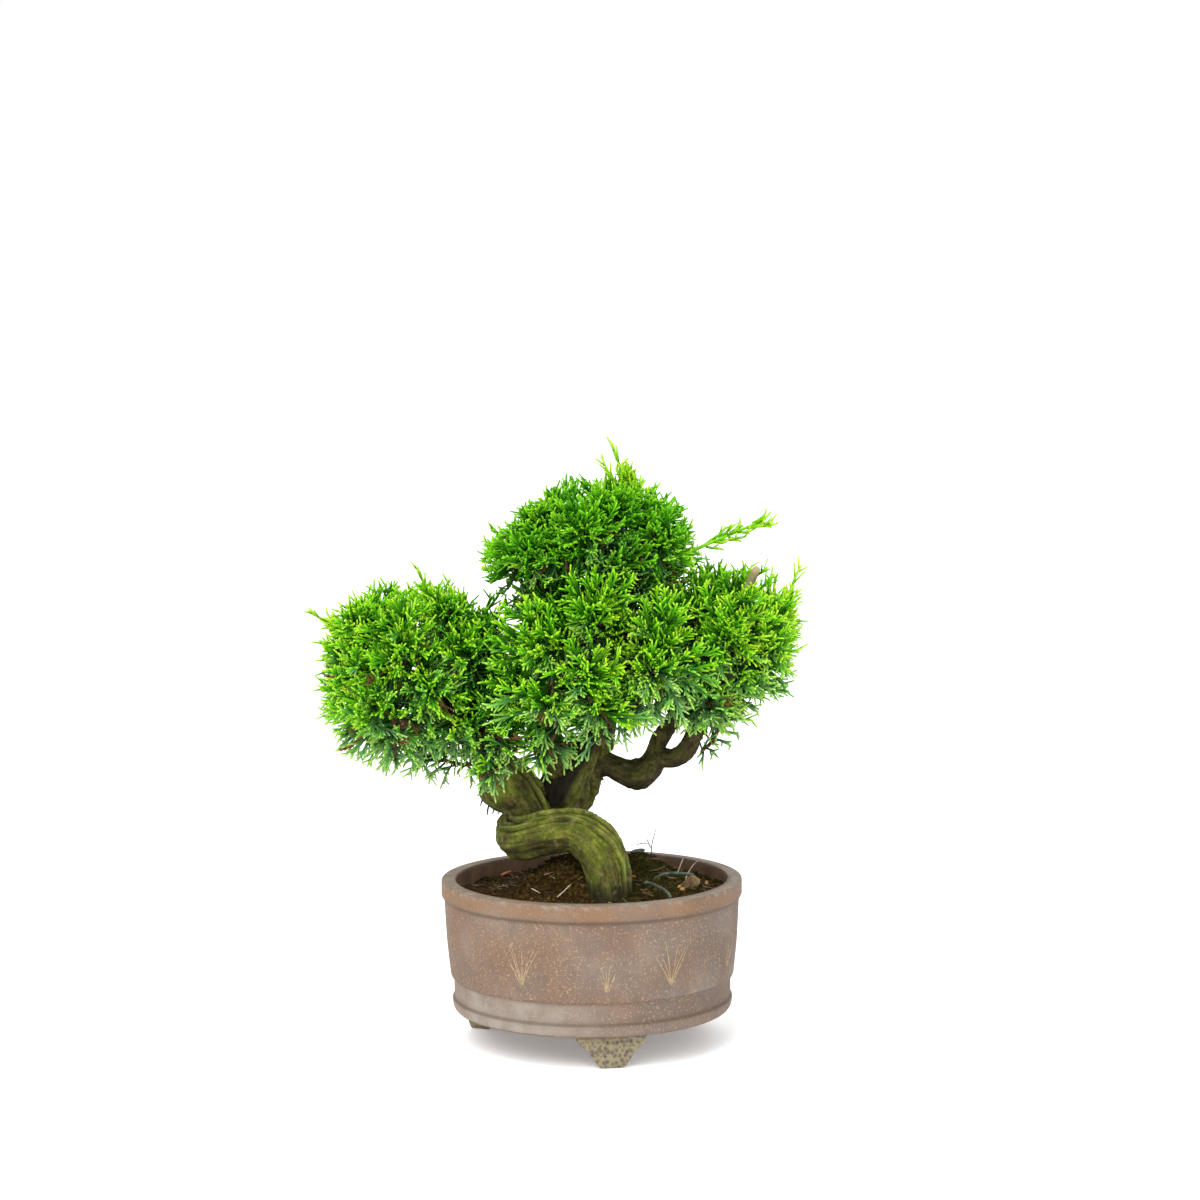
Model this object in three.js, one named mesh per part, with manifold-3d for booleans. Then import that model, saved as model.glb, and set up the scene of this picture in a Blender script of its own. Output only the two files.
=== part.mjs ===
// A Chinese juniper bonsai, about 24 cm tall, in a round unglazed drum pot on three feet.
// Millimetres, +Z up, x to the right of the front view and y away from it. Everything is laid out
// about the pot's axis with z = 0 under its feet, and the whole is then shifted so that the origin
// is the middle of the base of its own box.
import * as THREE from "three";
import { mergeVertices } from "three/addons/utils/BufferGeometryUtils.js";
import Module from "manifold-3d";

const wasm = await Module();
wasm.setup();

// Pot
const POT_SIDES = 36;
const POT_TOP = 65;
const RIM_OUTER = 60;
const RIM_INNER = 54.2;
const RIM_DEPTH = 6.4;
const WALL_OUTER = 58.9;
const BAND_OUTER = 55.2;
const STEP_Z = 26.9;
const FOOT_HEIGHT = 12.5;
const FLOOR_TOP = 19.5;
const FLOOR_INNER = 48.5;
const DRAIN_R = 9;
const TIE_HOLE_R = 2.6;
const TIE_HOLE_X = 22;

// Feet, cloud-shaped in the front view
const FOOT_HALF_TOP = 13.5;
const FOOT_HALF_GROUND = 4.3;
const FOOT_DEPTH = 8;
const FOOT_FRONT_R = 51.4;
const FOOT_AZIMUTHS = [-81.3, 38.7, 158.7];

// Fillings
const GAP = 0.3;
const FACET_ROOM = 0.3;
const GRIT_TOP = 27;
const SOIL_BOTTOM = GRIT_TOP + GAP;
const SOIL_SIDES = 28;
const SOIL_EDGE_Z = 59.5;
const SOIL_EDGE_INSET = 0.6;
const MOUND = { x: -8, y: -5, rx: 19, ry: 17, height: 13.5 };
const RIGHT_RISE = { x: 27, y: -14, rx: 18, ry: 20, height: 5.5 };

// Drain screen, its clip and the tie wire
const SCREEN_SIZE = 26;
const SCREEN_THICKNESS = 1.2;
const SCREEN_CELLS = 4;
const SCREEN_BAR = 1.5;
const CLIP_WIRE = 1.2;
const TIE_WIRE = 1.5;
const WIRE_SIDES = 5;

// Foliage: a spray's slim twig has three corners, and its shoots are three-sided
const TWIG_ROOT_R = 1.4;
const TWIG_TIP_R = 1.15;
const BAND_PITCH = 2.8;
const LEAFY_BANDS = 5;
const SHOOT_LENGTH = 12.6;
const TIP_LENGTH = 10.5;
const SHOOT_GAP = 0.2;

const CLAY = new THREE.Color(0x8f7c70);
const WIRE_GREY = new THREE.Color(0x8b938c);

// A seeded draw from 0 to 1, the same on every run.
let seed = 20251;
function draw() {
  seed = (seed * 1664525 + 1013904223) % 4294967296;
  return seed / 4294967296;
}

function vector(p) {
  return new THREE.Vector3(p[0], p[1], p[2]);
}

// Solids in and out of manifold-3d, which joins and cuts them.

function toSolid(geometry) {
  const bare = geometry.clone();
  bare.deleteAttribute("normal");
  bare.deleteAttribute("uv");
  const merged = mergeVertices(bare, 1e-4);
  const corners = [];
  for (let i = 0; i < merged.index.count; i += 3) {
    const [a, b, c] = [0, 1, 2].map((k) => merged.index.getX(i + k));
    if (a !== b && b !== c && c !== a) corners.push(a, b, c);
  }
  const mesh = new wasm.Mesh({
    numProp: 3,
    vertProperties: merged.attributes.position.array,
    triVerts: new Uint32Array(corners),
  });
  return new wasm.Manifold(mesh);
}

function toGeometry(solid) {
  const mesh = solid.getMesh();
  const geometry = new THREE.BufferGeometry();
  geometry.setAttribute("position", new THREE.BufferAttribute(mesh.vertProperties, 3));
  geometry.setIndex(new THREE.BufferAttribute(mesh.triVerts, 1));
  geometry.computeVertexNormals();
  return geometry;
}

function joined(solids) {
  return solids.reduce((whole, next) => whole.add(next));
}

// Across and up for each point of a curve, carried along it without a twist.
function framesAlong(tangents, start) {
  const upright = Math.abs(tangents[0].z) < 0.9;
  let across = start || (upright ? new THREE.Vector3(0, 0, 1) : new THREE.Vector3(0, 1, 0));
  return tangents.map((tangent) => {
    across = across.clone().addScaledVector(tangent, -across.dot(tangent)).normalize();
    return { across, up: tangent.clone().cross(across) };
  });
}

function valueAt(values, t) {
  const place = t * (values.length - 1);
  const i = Math.min(Math.floor(place), values.length - 2);
  return THREE.MathUtils.lerp(values[i], values[i + 1], place - i);
}

// Rings of a limb along a smooth curve through stations of x, y, z and radius.
function limbRings(stations, steps) {
  const curve = new THREE.CatmullRomCurve3(stations.map(vector));
  const radii = stations.map((s) => s[3]);
  return Array.from({ length: steps + 1 }, (_, i) => {
    const t = i / steps;
    return { t, point: curve.getPoint(t), tangent: curve.getTangent(t), radius: valueAt(radii, t) };
  });
}

// A tapering limb, closed at both ends. relief(angle, t) scales its radius, for ridges and knobs.
function limbGeometry(stations, sides, steps, extra = 0, relief = () => 1) {
  const rings = limbRings(stations, steps);
  const frames = framesAlong(rings.map((ring) => ring.tangent));
  const points = [];
  rings.forEach(({ t, point, radius }, i) => {
    for (let k = 0; k < sides; k++) {
      const angle = (2 * Math.PI * k) / sides;
      const r = (radius + extra) * relief(angle, t);
      const p = point.clone().addScaledVector(frames[i].across, r * Math.cos(angle));
      points.push(p.addScaledVector(frames[i].up, r * Math.sin(angle)));
    }
  });
  const startCap = points.length;
  points.push(rings[0].point.clone().addScaledVector(rings[0].tangent, -extra));
  points.push(rings[steps].point.clone().addScaledVector(rings[steps].tangent, extra));
  const faces = [];
  for (let i = 0; i < steps; i++) {
    for (let k = 0; k < sides; k++) {
      const a = i * sides + k;
      const b = i * sides + ((k + 1) % sides);
      faces.push(a, b, b + sides, a, b + sides, a + sides);
    }
  }
  for (let k = 0; k < sides; k++) {
    const next = (k + 1) % sides;
    faces.push(startCap, next, k);
    faces.push(startCap + 1, steps * sides + k, steps * sides + next);
  }
  return new THREE.BufferGeometry().setFromPoints(points).setIndex(faces);
}

// Pot

// The inside of the wall from the floor up, as radius and height.
const innerWall = [
  [FLOOR_INNER, FLOOR_TOP],
  [FLOOR_INNER + 3, 24],
  [RIM_INNER - 0.6, 45],
  [RIM_INNER, POT_TOP - 0.8],
];

function potGeometry() {
  const outer = [
    [DRAIN_R, FOOT_HEIGHT],
    [54.6, FOOT_HEIGHT],
    [55.5, 13.7],
    [56, 17.4],
    [BAND_OUTER, 18.6],
    [BAND_OUTER, 24.8],
    [56.6, STEP_Z],
    [58.1, 40],
    [WALL_OUTER, POT_TOP - RIM_DEPTH - 1],
    [RIM_OUTER, POT_TOP - RIM_DEPTH],
    [RIM_OUTER, POT_TOP - 1],
    [RIM_OUTER - 1, POT_TOP],
  ];
  const drain = [
    [DRAIN_R, FLOOR_TOP],
    [DRAIN_R, FOOT_HEIGHT],
  ];
  const inner = [[RIM_INNER + 0.7, POT_TOP], ...[...innerWall].reverse()];
  const profile = [...outer, ...inner, ...drain].map(([r, z]) => new THREE.Vector2(r, z));
  return new THREE.LatheGeometry(profile, POT_SIDES).rotateX(Math.PI / 2);
}

// One foot: flat on the ground, with two lobes a side, its top sunk into the pot.
function footGeometry() {
  const half = [
    [FOOT_HALF_TOP, FOOT_HEIGHT + 1.2],
    [FOOT_HALF_TOP, 10.6],
    [11.8, 8.4],
    [8.8, 7.4],
    [7.8, 4.6],
    [6.6, 2.1],
    [FOOT_HALF_GROUND, 0],
  ];
  const outline = new THREE.Shape();
  outline.moveTo(half[0][0], half[0][1]);
  half.slice(1).forEach(([x, z]) => outline.lineTo(x, z));
  [...half].reverse().forEach(([x, z]) => outline.lineTo(-x, z));
  const geometry = new THREE.ExtrudeGeometry(outline, { depth: FOOT_DEPTH, bevelEnabled: false });
  return geometry.rotateX(Math.PI / 2).translate(0, FOOT_FRONT_R, 0);
}

function tieHoleGeometry(x) {
  const length = FLOOR_TOP - FOOT_HEIGHT + 4;
  const geometry = new THREE.CylinderGeometry(TIE_HOLE_R, TIE_HOLE_R, length, 12);
  return geometry.rotateX(Math.PI / 2).translate(x, 0, (FLOOR_TOP + FOOT_HEIGHT) / 2);
}

function potSolid() {
  const feet = FOOT_AZIMUTHS.map((azimuth) => {
    const turn = THREE.MathUtils.degToRad(azimuth - 90);
    return toSolid(footGeometry().rotateZ(turn));
  });
  const body = joined([toSolid(potGeometry()), ...feet]);
  return [-TIE_HOLE_X, TIE_HOLE_X].reduce(
    (pot, x) => pot.subtract(toSolid(tieHoleGeometry(x))),
    body,
  );
}

// Wires, with two rings to each point of their route.

function wireGeometry(route, diameter, extra = 0) {
  const stations = route.map((point) => [...point, diameter / 2]);
  return limbGeometry(stations, WIRE_SIDES, 2 * (route.length - 1), extra);
}

const CLIP_X = 7.75;
const CLIP_Y = 1.8;
const UNDER_FLOOR = FOOT_HEIGHT - 2 * GAP - CLIP_WIRE / 2;
const SCREEN_Z = FLOOR_TOP + GAP;
const CLIP_TOP = SCREEN_Z + SCREEN_THICKNESS + GAP + CLIP_WIRE / 2;
const clipRoute = [
  [-CLIP_X - 6, CLIP_Y, UNDER_FLOOR],
  [-CLIP_X - 1.4, CLIP_Y, UNDER_FLOOR],
  [-CLIP_X, CLIP_Y, UNDER_FLOOR + 1.4],
  [-CLIP_X, CLIP_Y, CLIP_TOP - 1.4],
  [-CLIP_X + 1.4, CLIP_Y, CLIP_TOP],
  [0, CLIP_Y, CLIP_TOP],
  [CLIP_X - 1.4, CLIP_Y, CLIP_TOP],
  [CLIP_X, CLIP_Y, CLIP_TOP - 1.4],
  [CLIP_X, CLIP_Y, UNDER_FLOOR + 1.4],
  [CLIP_X + 1.4, CLIP_Y, UNDER_FLOOR],
  [CLIP_X + 6, CLIP_Y, UNDER_FLOOR],
];

// The tie wire runs under the pot between its two holes and up through the soil. One end lies
// over the soil towards the front, the other arches over it at the right.
const UNDER_TIE = FOOT_HEIGHT - 2 * GAP - TIE_WIRE / 2;
const tieRoute = [
  [30.6, -41.6, 64.4],
  [29, -38.5, 66.2],
  [24, -31, 67.6],
  [20.4, -23, 66.6],
  [20, -16, 60],
  [8, 0, 45],
  [-16, 0, 34],
  [-TIE_HOLE_X, 0, 26],
  [-TIE_HOLE_X, 0, 20],
  [-TIE_HOLE_X, 0, 14.6],
  [-TIE_HOLE_X + 1, 0, 12],
  [-TIE_HOLE_X + 4, 0, UNDER_TIE],
  [TIE_HOLE_X - 4, 0, UNDER_TIE],
  [TIE_HOLE_X - 1, 0, 12],
  [TIE_HOLE_X, 0, 14.6],
  [TIE_HOLE_X, 0, 20],
  [TIE_HOLE_X, 0, 30],
  [TIE_HOLE_X + 1, -4, 50],
  [TIE_HOLE_X + 1, -9, 62],
  [26.5, -12, 67.4],
  [33, -12, 68.4],
  [40.5, -10, 67.3],
];

// A square plastic mesh: a thin plate less a grid of square cells.
function screenSolid() {
  const pitch = (SCREEN_SIZE - SCREEN_BAR) / SCREEN_CELLS;
  const middle = (SCREEN_CELLS - 1) / 2;
  const cell = pitch - SCREEN_BAR;
  let plate = toSolid(new THREE.BoxGeometry(SCREEN_SIZE, SCREEN_SIZE, SCREEN_THICKNESS));
  for (let i = 0; i < SCREEN_CELLS; i++) {
    for (let j = 0; j < SCREEN_CELLS; j++) {
      const hole = new THREE.BoxGeometry(cell, cell, 3 * SCREEN_THICKNESS);
      plate = plate.subtract(toSolid(hole.translate((i - middle) * pitch, (j - middle) * pitch, 0)));
    }
  }
  return plate.translate(0, 0, SCREEN_Z + SCREEN_THICKNESS / 2);
}

// Fillings

// The pot's inner radius at a height, less the gap and some room for its facets.
function innerRadius(z) {
  const i = innerWall.findIndex((point, k) => k > 0 && z <= point[1]);
  const [r0, z0] = innerWall[i - 1];
  const [r1, z1] = innerWall[i];
  return r0 + ((r1 - r0) * (z - z0)) / (z1 - z0) - FACET_ROOM - GAP;
}

function gritSolid() {
  const bottom = FLOOR_TOP + GAP;
  const profile = [
    [0, bottom],
    [innerRadius(bottom), bottom],
    [innerRadius(24), 24],
    [innerRadius(GRIT_TOP), GRIT_TOP],
    [0, GRIT_TOP],
  ].map(([r, z]) => new THREE.Vector2(r, z));
  const layer = toSolid(new THREE.LatheGeometry(profile, SOIL_SIDES).rotateX(Math.PI / 2));
  const pocketHeight = CLIP_TOP + CLIP_WIRE + GAP - bottom + 1;
  const size = SCREEN_SIZE + 2 * GAP;
  const pocket = new THREE.BoxGeometry(size, size, pocketHeight);
  return layer.subtract(toSolid(pocket.translate(0, 0, bottom - 1 + pocketHeight / 2)));
}

function heap({ x: middleX, y: middleY, rx, ry, height }, x, y) {
  return height * Math.exp(-(((x - middleX) / rx) ** 2) - ((y - middleY) / ry) ** 2);
}

// Height of the soil: low at the wall, raised in a mound under the trunk's bow.
function soilHeight(x, y) {
  const lumps = 0.6 * Math.sin(x * 0.31 + 1) * Math.cos(y * 0.27) + 0.4 * Math.sin(x * 0.13 - y * 0.41);
  const lowLeft = 0.018 * Math.min(x, 0);
  return SOIL_EDGE_Z + lowLeft + heap(MOUND, x, y) + heap(RIGHT_RISE, x, y) + lumps;
}

function soilGeometry() {
  const rings = [0.2, 0.4, 0.6, 0.8, 1];
  const topRadius = innerRadius(SOIL_EDGE_Z) - SOIL_EDGE_INSET;
  const points = [new THREE.Vector3(0, 0, soilHeight(0, 0))];
  const ringPoint = (k, r, z) => {
    const angle = (2 * Math.PI * k) / SOIL_SIDES;
    const x = r * Math.cos(angle);
    const y = r * Math.sin(angle);
    return new THREE.Vector3(x, y, z === undefined ? soilHeight(x, y) : z);
  };
  const walls = [45, SOIL_BOTTOM];
  rings.forEach((f) => {
    for (let k = 0; k < SOIL_SIDES; k++) points.push(ringPoint(k, f * topRadius));
  });
  walls.forEach((z) => {
    for (let k = 0; k < SOIL_SIDES; k++) points.push(ringPoint(k, innerRadius(z), z));
  });
  const bottom = points.length;
  points.push(new THREE.Vector3(0, 0, SOIL_BOTTOM));
  const faces = [];
  const rows = rings.length + walls.length;
  for (let k = 0; k < SOIL_SIDES; k++) {
    const next = (k + 1) % SOIL_SIDES;
    faces.push(0, 1 + k, 1 + next);
    for (let i = 0; i < rows - 1; i++) {
      const a = 1 + i * SOIL_SIDES;
      const b = a + SOIL_SIDES;
      faces.push(a + k, b + k, b + next, a + k, b + next, a + next);
    }
    const last = 1 + (rows - 1) * SOIL_SIDES;
    faces.push(bottom, last + next, last + k);
  }
  return new THREE.BufferGeometry().setFromPoints(points).setIndex(faces);
}

// Wood. Each limb is a list of stations of x, y, z and radius, its first sunk in what it grows from.

const trunkStations = [
  [9, -21, 38, 9.5],
  [9, -22.5, 52, 10.4],
  [8.8, -23.2, 61, 9.8],
  [7.2, -22.2, 70, 9.2],
  [4, -20, 78, 8.7],
  [-1.8, -17, 84, 8.2],
  [-9.5, -14, 85.8, 8.1],
  [-17.4, -12.6, 84.2, 8.4],
  [-25.6, -9.8, 81.6, 8.5],
  [-30.8, -0.8, 80.8, 8.2],
  [-28, 8.6, 83.4, 8.6],
  [-20.4, 13.4, 88, 9.6],
  [-12.5, 13.5, 94, 11],
  [-8.5, 14, 101, 11.4],
  [-4.5, 13.4, 108, 9.4],
  [0.5, 11.6, 115, 6.6],
  [3.6, 9.4, 122, 5],
  [5.4, 7.2, 130, 4.3],
  [6.4, 5.4, 141, 3.8],
  [7.2, 4.4, 156, 3.3],
  [8.8, 4, 173, 2.8],
  [9.6, 3.4, 189, 2.2],
  [8.8, 2, 204, 1.7],
];

const lowerLimbs = {
  leftKnee: [
    [-22, 4, 84, 8.4],
    [-25.4, 4.4, 92, 9.2],
    [-29.6, 4.8, 99, 9.8],
    [-35, 4, 105, 9],
    [-40, 2, 111, 6.8],
    [-46, -1.5, 119, 4.8],
    [-54, -4, 127, 4],
    [-63, -5, 134, 3.4],
    [-73, -6, 140, 2.8],
    [-83, -6, 146, 2.1],
  ],
  leftKnob: [
    [-31, 3.5, 99, 9.4],
    [-36, 2.5, 100.6, 8.6],
    [-40, 1.6, 103.4, 6.4],
  ],
  leftUpper: [
    [-9, 13, 102, 9],
    [-13.6, 12, 110, 8.2],
    [-17.4, 9.6, 118, 6.4],
    [-21, 6, 126.5, 4.6],
    [-28, 3, 131, 3.8],
    [-38, 3, 132.5, 3.2],
    [-50, 7, 138, 2.7],
    [-62, 12, 145, 2.2],
    [-72, 16, 152, 1.7],
  ],
  rightLoop: [
    [0, 12, 108, 6],
    [5, 10.8, 108.6, 4.8],
    [10, 9, 107.6, 4.3],
    [15.6, 7, 105.4, 5.9],
    [21, 5.4, 105.2, 6.8],
    [24.8, 4.2, 110, 4.9],
    [25.4, 3.8, 115.6, 3.8],
    [29, 4.4, 122, 3.3],
    [34.4, 7, 127.4, 3],
    [41, 11, 133, 2.7],
    [49, 14.5, 141, 2.3],
    [57, 17, 151, 1.8],
  ],
  rightFork: [
    [23.4, 4.2, 110.6, 4.4],
    [28, 1.8, 112.4, 3.9],
    [34.4, -2, 112.8, 4.2],
    [38.8, -4.4, 117, 4],
    [41.6, -5, 124, 3.6],
    [44.4, -4.8, 133, 3.4],
    [48.6, -5.6, 142, 3],
    [54, -7, 151, 2.5],
    [61, -8.4, 160, 1.9],
  ],
  cutBranch: [
    [52.8, -6.6, 149, 2.3],
    [55.8, -5, 161, 2.3],
    [59, -3, 173, 2.3],
    [62.6, -3.4, 181, 2.2],
    [66.2, -4.6, 189.4, 2.1],
  ],
};

const branches = {
  leftLow: [[-54, -4, 127, 2.6], [-62, -12, 129, 2.1], [-71, -20, 133, 1.6]],
  leftFront: [[-63, -5, 134, 2.4], [-66, -14, 142, 2], [-70, -21, 150, 1.5]],
  leftTop: [[-50, 7, 138, 2.4], [-54, 4, 148, 2], [-57, 0, 160, 1.5]],
  leftFar: [[-73, -6, 140, 2.1], [-80, 4, 148, 1.8], [-86, 12, 154, 1.4]],
  leftNear: [[-38, 3, 132.5, 2.5], [-42, -8, 136, 2.1], [-46, -18, 142, 1.5]],
  hanging: [[-28, 3, 131, 2.3], [-28, -8, 129, 1.9], [-30, -18, 124, 1.4]],
  frontLeft: [[6.2, 6, 138, 2.8], [0, -5, 142, 2.4], [-7, -16, 145, 2], [-14, -24, 148, 1.5]],
  frontRight: [[6.8, 5, 146, 2.6], [13, -6, 149, 2.2], [19, -16, 151, 1.9], [25, -23, 152, 1.5]],
  frontTop: [[7.3, 4.4, 158, 2.3], [6, -7, 162, 1.9], [3, -17, 165, 1.5]],
  frontLow: [[0, -5, 142, 1.9], [4, -15, 136, 1.7], [6, -23, 130, 1.4]],
  backLeft: [[5.6, 7, 132, 2.8], [0, 17, 139, 2.4], [-8, 26, 145, 2], [-15, 32, 149, 1.5]],
  backRight: [[7, 5, 150, 2.4], [13, 16, 154, 2], [20, 27, 158, 1.5]],
  apexLeft: [[8.4, 4, 170, 2.2], [-3, 2.4, 176, 1.9], [-15, 0, 181, 1.6], [-25, -2, 184, 1.2]],
  apexRight: [[9.2, 4, 180, 2], [19, 2, 186, 1.7], [28, 0, 190, 1.3]],
  apexBack: [[9.3, 4, 183, 2], [10, 13, 190, 1.7], [10, 21, 195, 1.3]],
  apexFront: [[9.4, 4, 186, 1.9], [6, -7, 192, 1.7], [3, -15, 197, 1.3]],
  apexUpperLeft: [[9.5, 3, 194, 1.8], [0, 2, 201, 1.5], [-9, 0, 207, 1.2]],
  apexUpperRight: [[9.4, 2.6, 197, 1.6], [16, 3, 203, 1.4], [21, 2, 208, 1.1]],
  rightFront: [[48.6, -5.6, 142, 2.4], [52, -15, 145, 2], [54, -23, 149, 1.5]],
  rightTop: [[55.8, -5, 161, 2], [50, -4, 169, 1.7], [44, -3, 175, 1.4]],
  rightFar: [[57, -7, 154, 2], [66, -6, 158, 1.7], [73, -6, 162, 1.3]],
  rightLow: [[44.4, -4.8, 133, 2.3], [51, -10, 134, 1.9], [57, -14, 136, 1.4]],
  rightInner: [[34.4, 7, 127.4, 2.2], [31, 0, 136, 1.8], [28, -5, 144, 1.4]],
  rightBack: [[49, 14.5, 141, 1.9], [46, 20, 149, 1.6], [42, 24, 156, 1.3]],
};

const roots = [
  [[9, -21, 46, 7.6], [0, -12, 50, 6.2], [-11, -2, 51, 4.2], [-24, 8, 45, 2.6]],
  [[9, -21, 44, 7.6], [5, -34, 45, 4.6], [-1, -43, 41, 2.6]],
  [[9, -21, 44, 7.6], [22, -22, 42, 4.6], [34, -16, 38, 3.2], [44, -6, 34, 2]],
];
const cutRoot = [
  [20, -25, 45, 3.6],
  [29, -23.8, 55, 3.3],
  [35.6, -21.6, 62, 3.1],
  [39.6, -19.8, 66, 3],
  [41.6, -18.9, 67.8, 2.5],
];

const TRUNK_SIDES = 12;
const TRUNK_STEPS = 30;
const LIMB_SIDES = 6;
const BRANCH_SIDES = 4;

// Long ridges on the lower trunk that fade out higher up, with a little unevenness.
function trunkRelief(angle, t) {
  const fade = THREE.MathUtils.clamp(1.6 - 2.2 * t, 0, 1);
  const ridges = 0.09 * Math.cos(4 * angle + 0.8) * fade;
  const unevenness = 0.035 * Math.sin(7 * t * Math.PI + 2 * angle);
  return 1 + ridges + unevenness;
}

function rootSolid(extra) {
  const limbs = [
    limbGeometry(trunkStations, TRUNK_SIDES, TRUNK_STEPS, extra, trunkRelief),
    ...roots.map((stations) => limbGeometry(stations, LIMB_SIDES, stations.length - 1, extra)),
    limbGeometry(cutRoot, LIMB_SIDES, cutRoot.length - 1, extra),
  ];
  return joined(limbs.map(toSolid));
}

const limbSteps = (stations) => stations.length;
const branchSteps = (stations) => stations.length - 1;

function woodSolid() {
  const lower = Object.values(lowerLimbs).map((stations) => {
    return toSolid(limbGeometry(stations, LIMB_SIDES, limbSteps(stations)));
  });
  const upper = Object.values(branches).map((stations) => {
    return toSolid(limbGeometry(stations, BRANCH_SIDES, branchSteps(stations)));
  });
  return joined([rootSolid(0), ...lower, ...upper]);
}

// Foliage. The crown is made of pads, each an ellipsoid that the tips of its sprays reach.
const pads = [
  {
    centre: [-70, -2, 148],
    size: [40, 38, 38],
    arms: 31,
    limbs: ["leftKnee", "leftUpper", "leftLow", "leftFront", "leftTop", "leftFar", "leftNear"],
  },
  {
    centre: [1, 1, 197],
    size: [43, 36, 30],
    arms: 27,
    limbs: ["apexLeft", "apexRight", "apexBack", "apexFront", "apexUpperLeft", "apexUpperRight"],
  },
  {
    centre: [54, -3, 158],
    size: [31, 35, 32],
    arms: 24,
    limbs: [
      "rightFront", "rightTop", "rightFar", "rightLow", "rightInner", "rightBack",
      "rightLoop", "rightFork",
    ],
  },
  {
    centre: [2, -27, 149],
    size: [36, 27, 33],
    arms: 20,
    limbs: ["frontLeft", "frontRight", "frontTop", "frontLow", "leftNear"],
  },
  {
    centre: [-24, -14, 124],
    size: [28, 17, 23],
    arms: 11,
    limbs: ["hanging", "leftNear", "frontLow", "frontLeft"],
  },
  {
    centre: [4, 31, 158],
    size: [36, 26, 34],
    arms: 18,
    limbs: ["backLeft", "backRight"],
  },
];

// Long single sprigs that stand out of the pads: the limb each grows from, and its tip.
const sprigs = [
  { limb: "apexRight", tip: [79.5, -4, 212] },
  { limb: "leftFar", tip: [-110, -6, 172.5] },
  { limb: "apexUpperRight", tip: [8.5, 0, 236] },
  { limb: "rightFar", tip: [82.5, 1, 188] },
  { limb: "leftTop", tip: [-67, 0, 189] },
];

const FULL_ARM = {
  rootR: TWIG_ROOT_R,
  tipR: TWIG_TIP_R,
  pitch: BAND_PITCH,
  bands: LEAFY_BANDS,
  shoot: SHOOT_LENGTH,
  spread: [1.15, 0.5],
};
const SIDE_ARM = { ...FULL_ARM, rootR: TWIG_ROOT_R * 0.85 };
const SPRIG_ARM = {
  rootR: 1.3,
  tipR: 0.9,
  pitch: 3.6,
  bands: 8,
  shoot: 6.5,
  spread: [0.85, 0.5],
};

// Distance between two straight rods, skin to skin, from the fraction "from" of each onwards. A
// rod is { a, b, ra, rb }: its two ends and its radius there.
function rodClearance(p, q, from = 0) {
  const p0 = p.a.clone().lerp(p.b, from);
  const q0 = q.a.clone().lerp(q.b, from);
  const u = p.b.clone().sub(p0);
  const v = q.b.clone().sub(q0);
  const w = p0.clone().sub(q0);
  const uu = u.dot(u);
  const vv = v.dot(v);
  const uv = u.dot(v);
  const uw = u.dot(w);
  const vw = v.dot(w);
  const across = uu * vv - uv * uv;
  const clamp = THREE.MathUtils.clamp;
  let s = across > 1e-9 ? clamp((uv * vw - vv * uw) / across, 0, 1) : 0;
  const t = clamp((uv * s + vw) / vv, 0, 1);
  s = clamp((uv * t - uw) / uu, 0, 1);
  const apart = w.addScaledVector(u, s).addScaledVector(v, -t).length();
  const radiusP = THREE.MathUtils.lerp(p.ra, p.rb, from + s * (1 - from));
  const radiusQ = THREE.MathUtils.lerp(q.ra, q.rb, from + t * (1 - from));
  return apart - radiusP - radiusQ;
}

// Every rod that a new twig or shoot has to stay clear of, with a sphere round each.
const placed = [];
function place(rod) {
  rod.middle = rod.a.clone().add(rod.b).multiplyScalar(0.5);
  rod.reach = rod.a.distanceTo(rod.b) / 2 + Math.max(rod.ra, rod.rb);
  placed.push(rod);
}

const SAME_ARM_FROM = 0.35;
const SAME_ARM_GAP = 0.05;
function isClear(rod, skips) {
  const middle = rod.a.clone().add(rod.b).multiplyScalar(0.5);
  const reach = rod.a.distanceTo(rod.b) / 2 + Math.max(rod.ra, rod.rb) + SHOOT_GAP;
  for (const other of placed) {
    if (skips(other)) continue;
    const room = reach + other.reach;
    if (middle.distanceToSquared(other.middle) > room * room) continue;
    const sameArm = rod.arm !== undefined && other.arm === rod.arm;
    if (sameArm && rodClearance(rod, other, SAME_ARM_FROM) < SAME_ARM_GAP) return false;
    if (!sameArm && rodClearance(rod, other) < SHOOT_GAP) return false;
  }
  return true;
}

// A face of a skin: its three corners, and the sphere round it.
function skinFace(points, corners) {
  const middle = new THREE.Vector3();
  corners.forEach((i) => middle.addScaledVector(points[i], 1 / 3));
  const spots = corners.map((i) => points[i]);
  const reach = Math.max(...spots.map((spot) => spot.distanceTo(middle)));
  return { corners, spots, middle, reach };
}

const hitPoint = new THREE.Vector3();
function edgePierces(face, target, shared) {
  const [a, b, c] = target.spots;
  return face.spots.some((from, k) => {
    const to = face.spots[(k + 1) % 3];
    if (shared.includes(from) || shared.includes(to)) return false;
    const way = to.clone().sub(from);
    const length = way.length();
    const hit = new THREE.Ray(from, way.normalize()).intersectTriangle(a, b, c, false, hitPoint);
    return hit !== null && hit.distanceTo(from) < length;
  });
}

// True where two faces cut each other. Those that share an edge only do so where one is folded
// back onto the other.
const SHARPEST_FOLD = 0.97;
function facesMeet(face, other) {
  const shared = face.spots.filter((spot) => other.spots.includes(spot));
  if (shared.length === 2) {
    const [start, end] = shared;
    const edge = end.clone().sub(start).normalize();
    const [p, q] = [face, other].map(({ spots }) => {
      const away = spots.find((spot) => !shared.includes(spot)).clone().sub(start);
      return away.addScaledVector(edge, -away.dot(edge)).normalize();
    });
    return p.dot(q) > SHARPEST_FOLD;
  }
  return edgePierces(face, other, shared) || edgePierces(other, face, shared);
}

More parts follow.
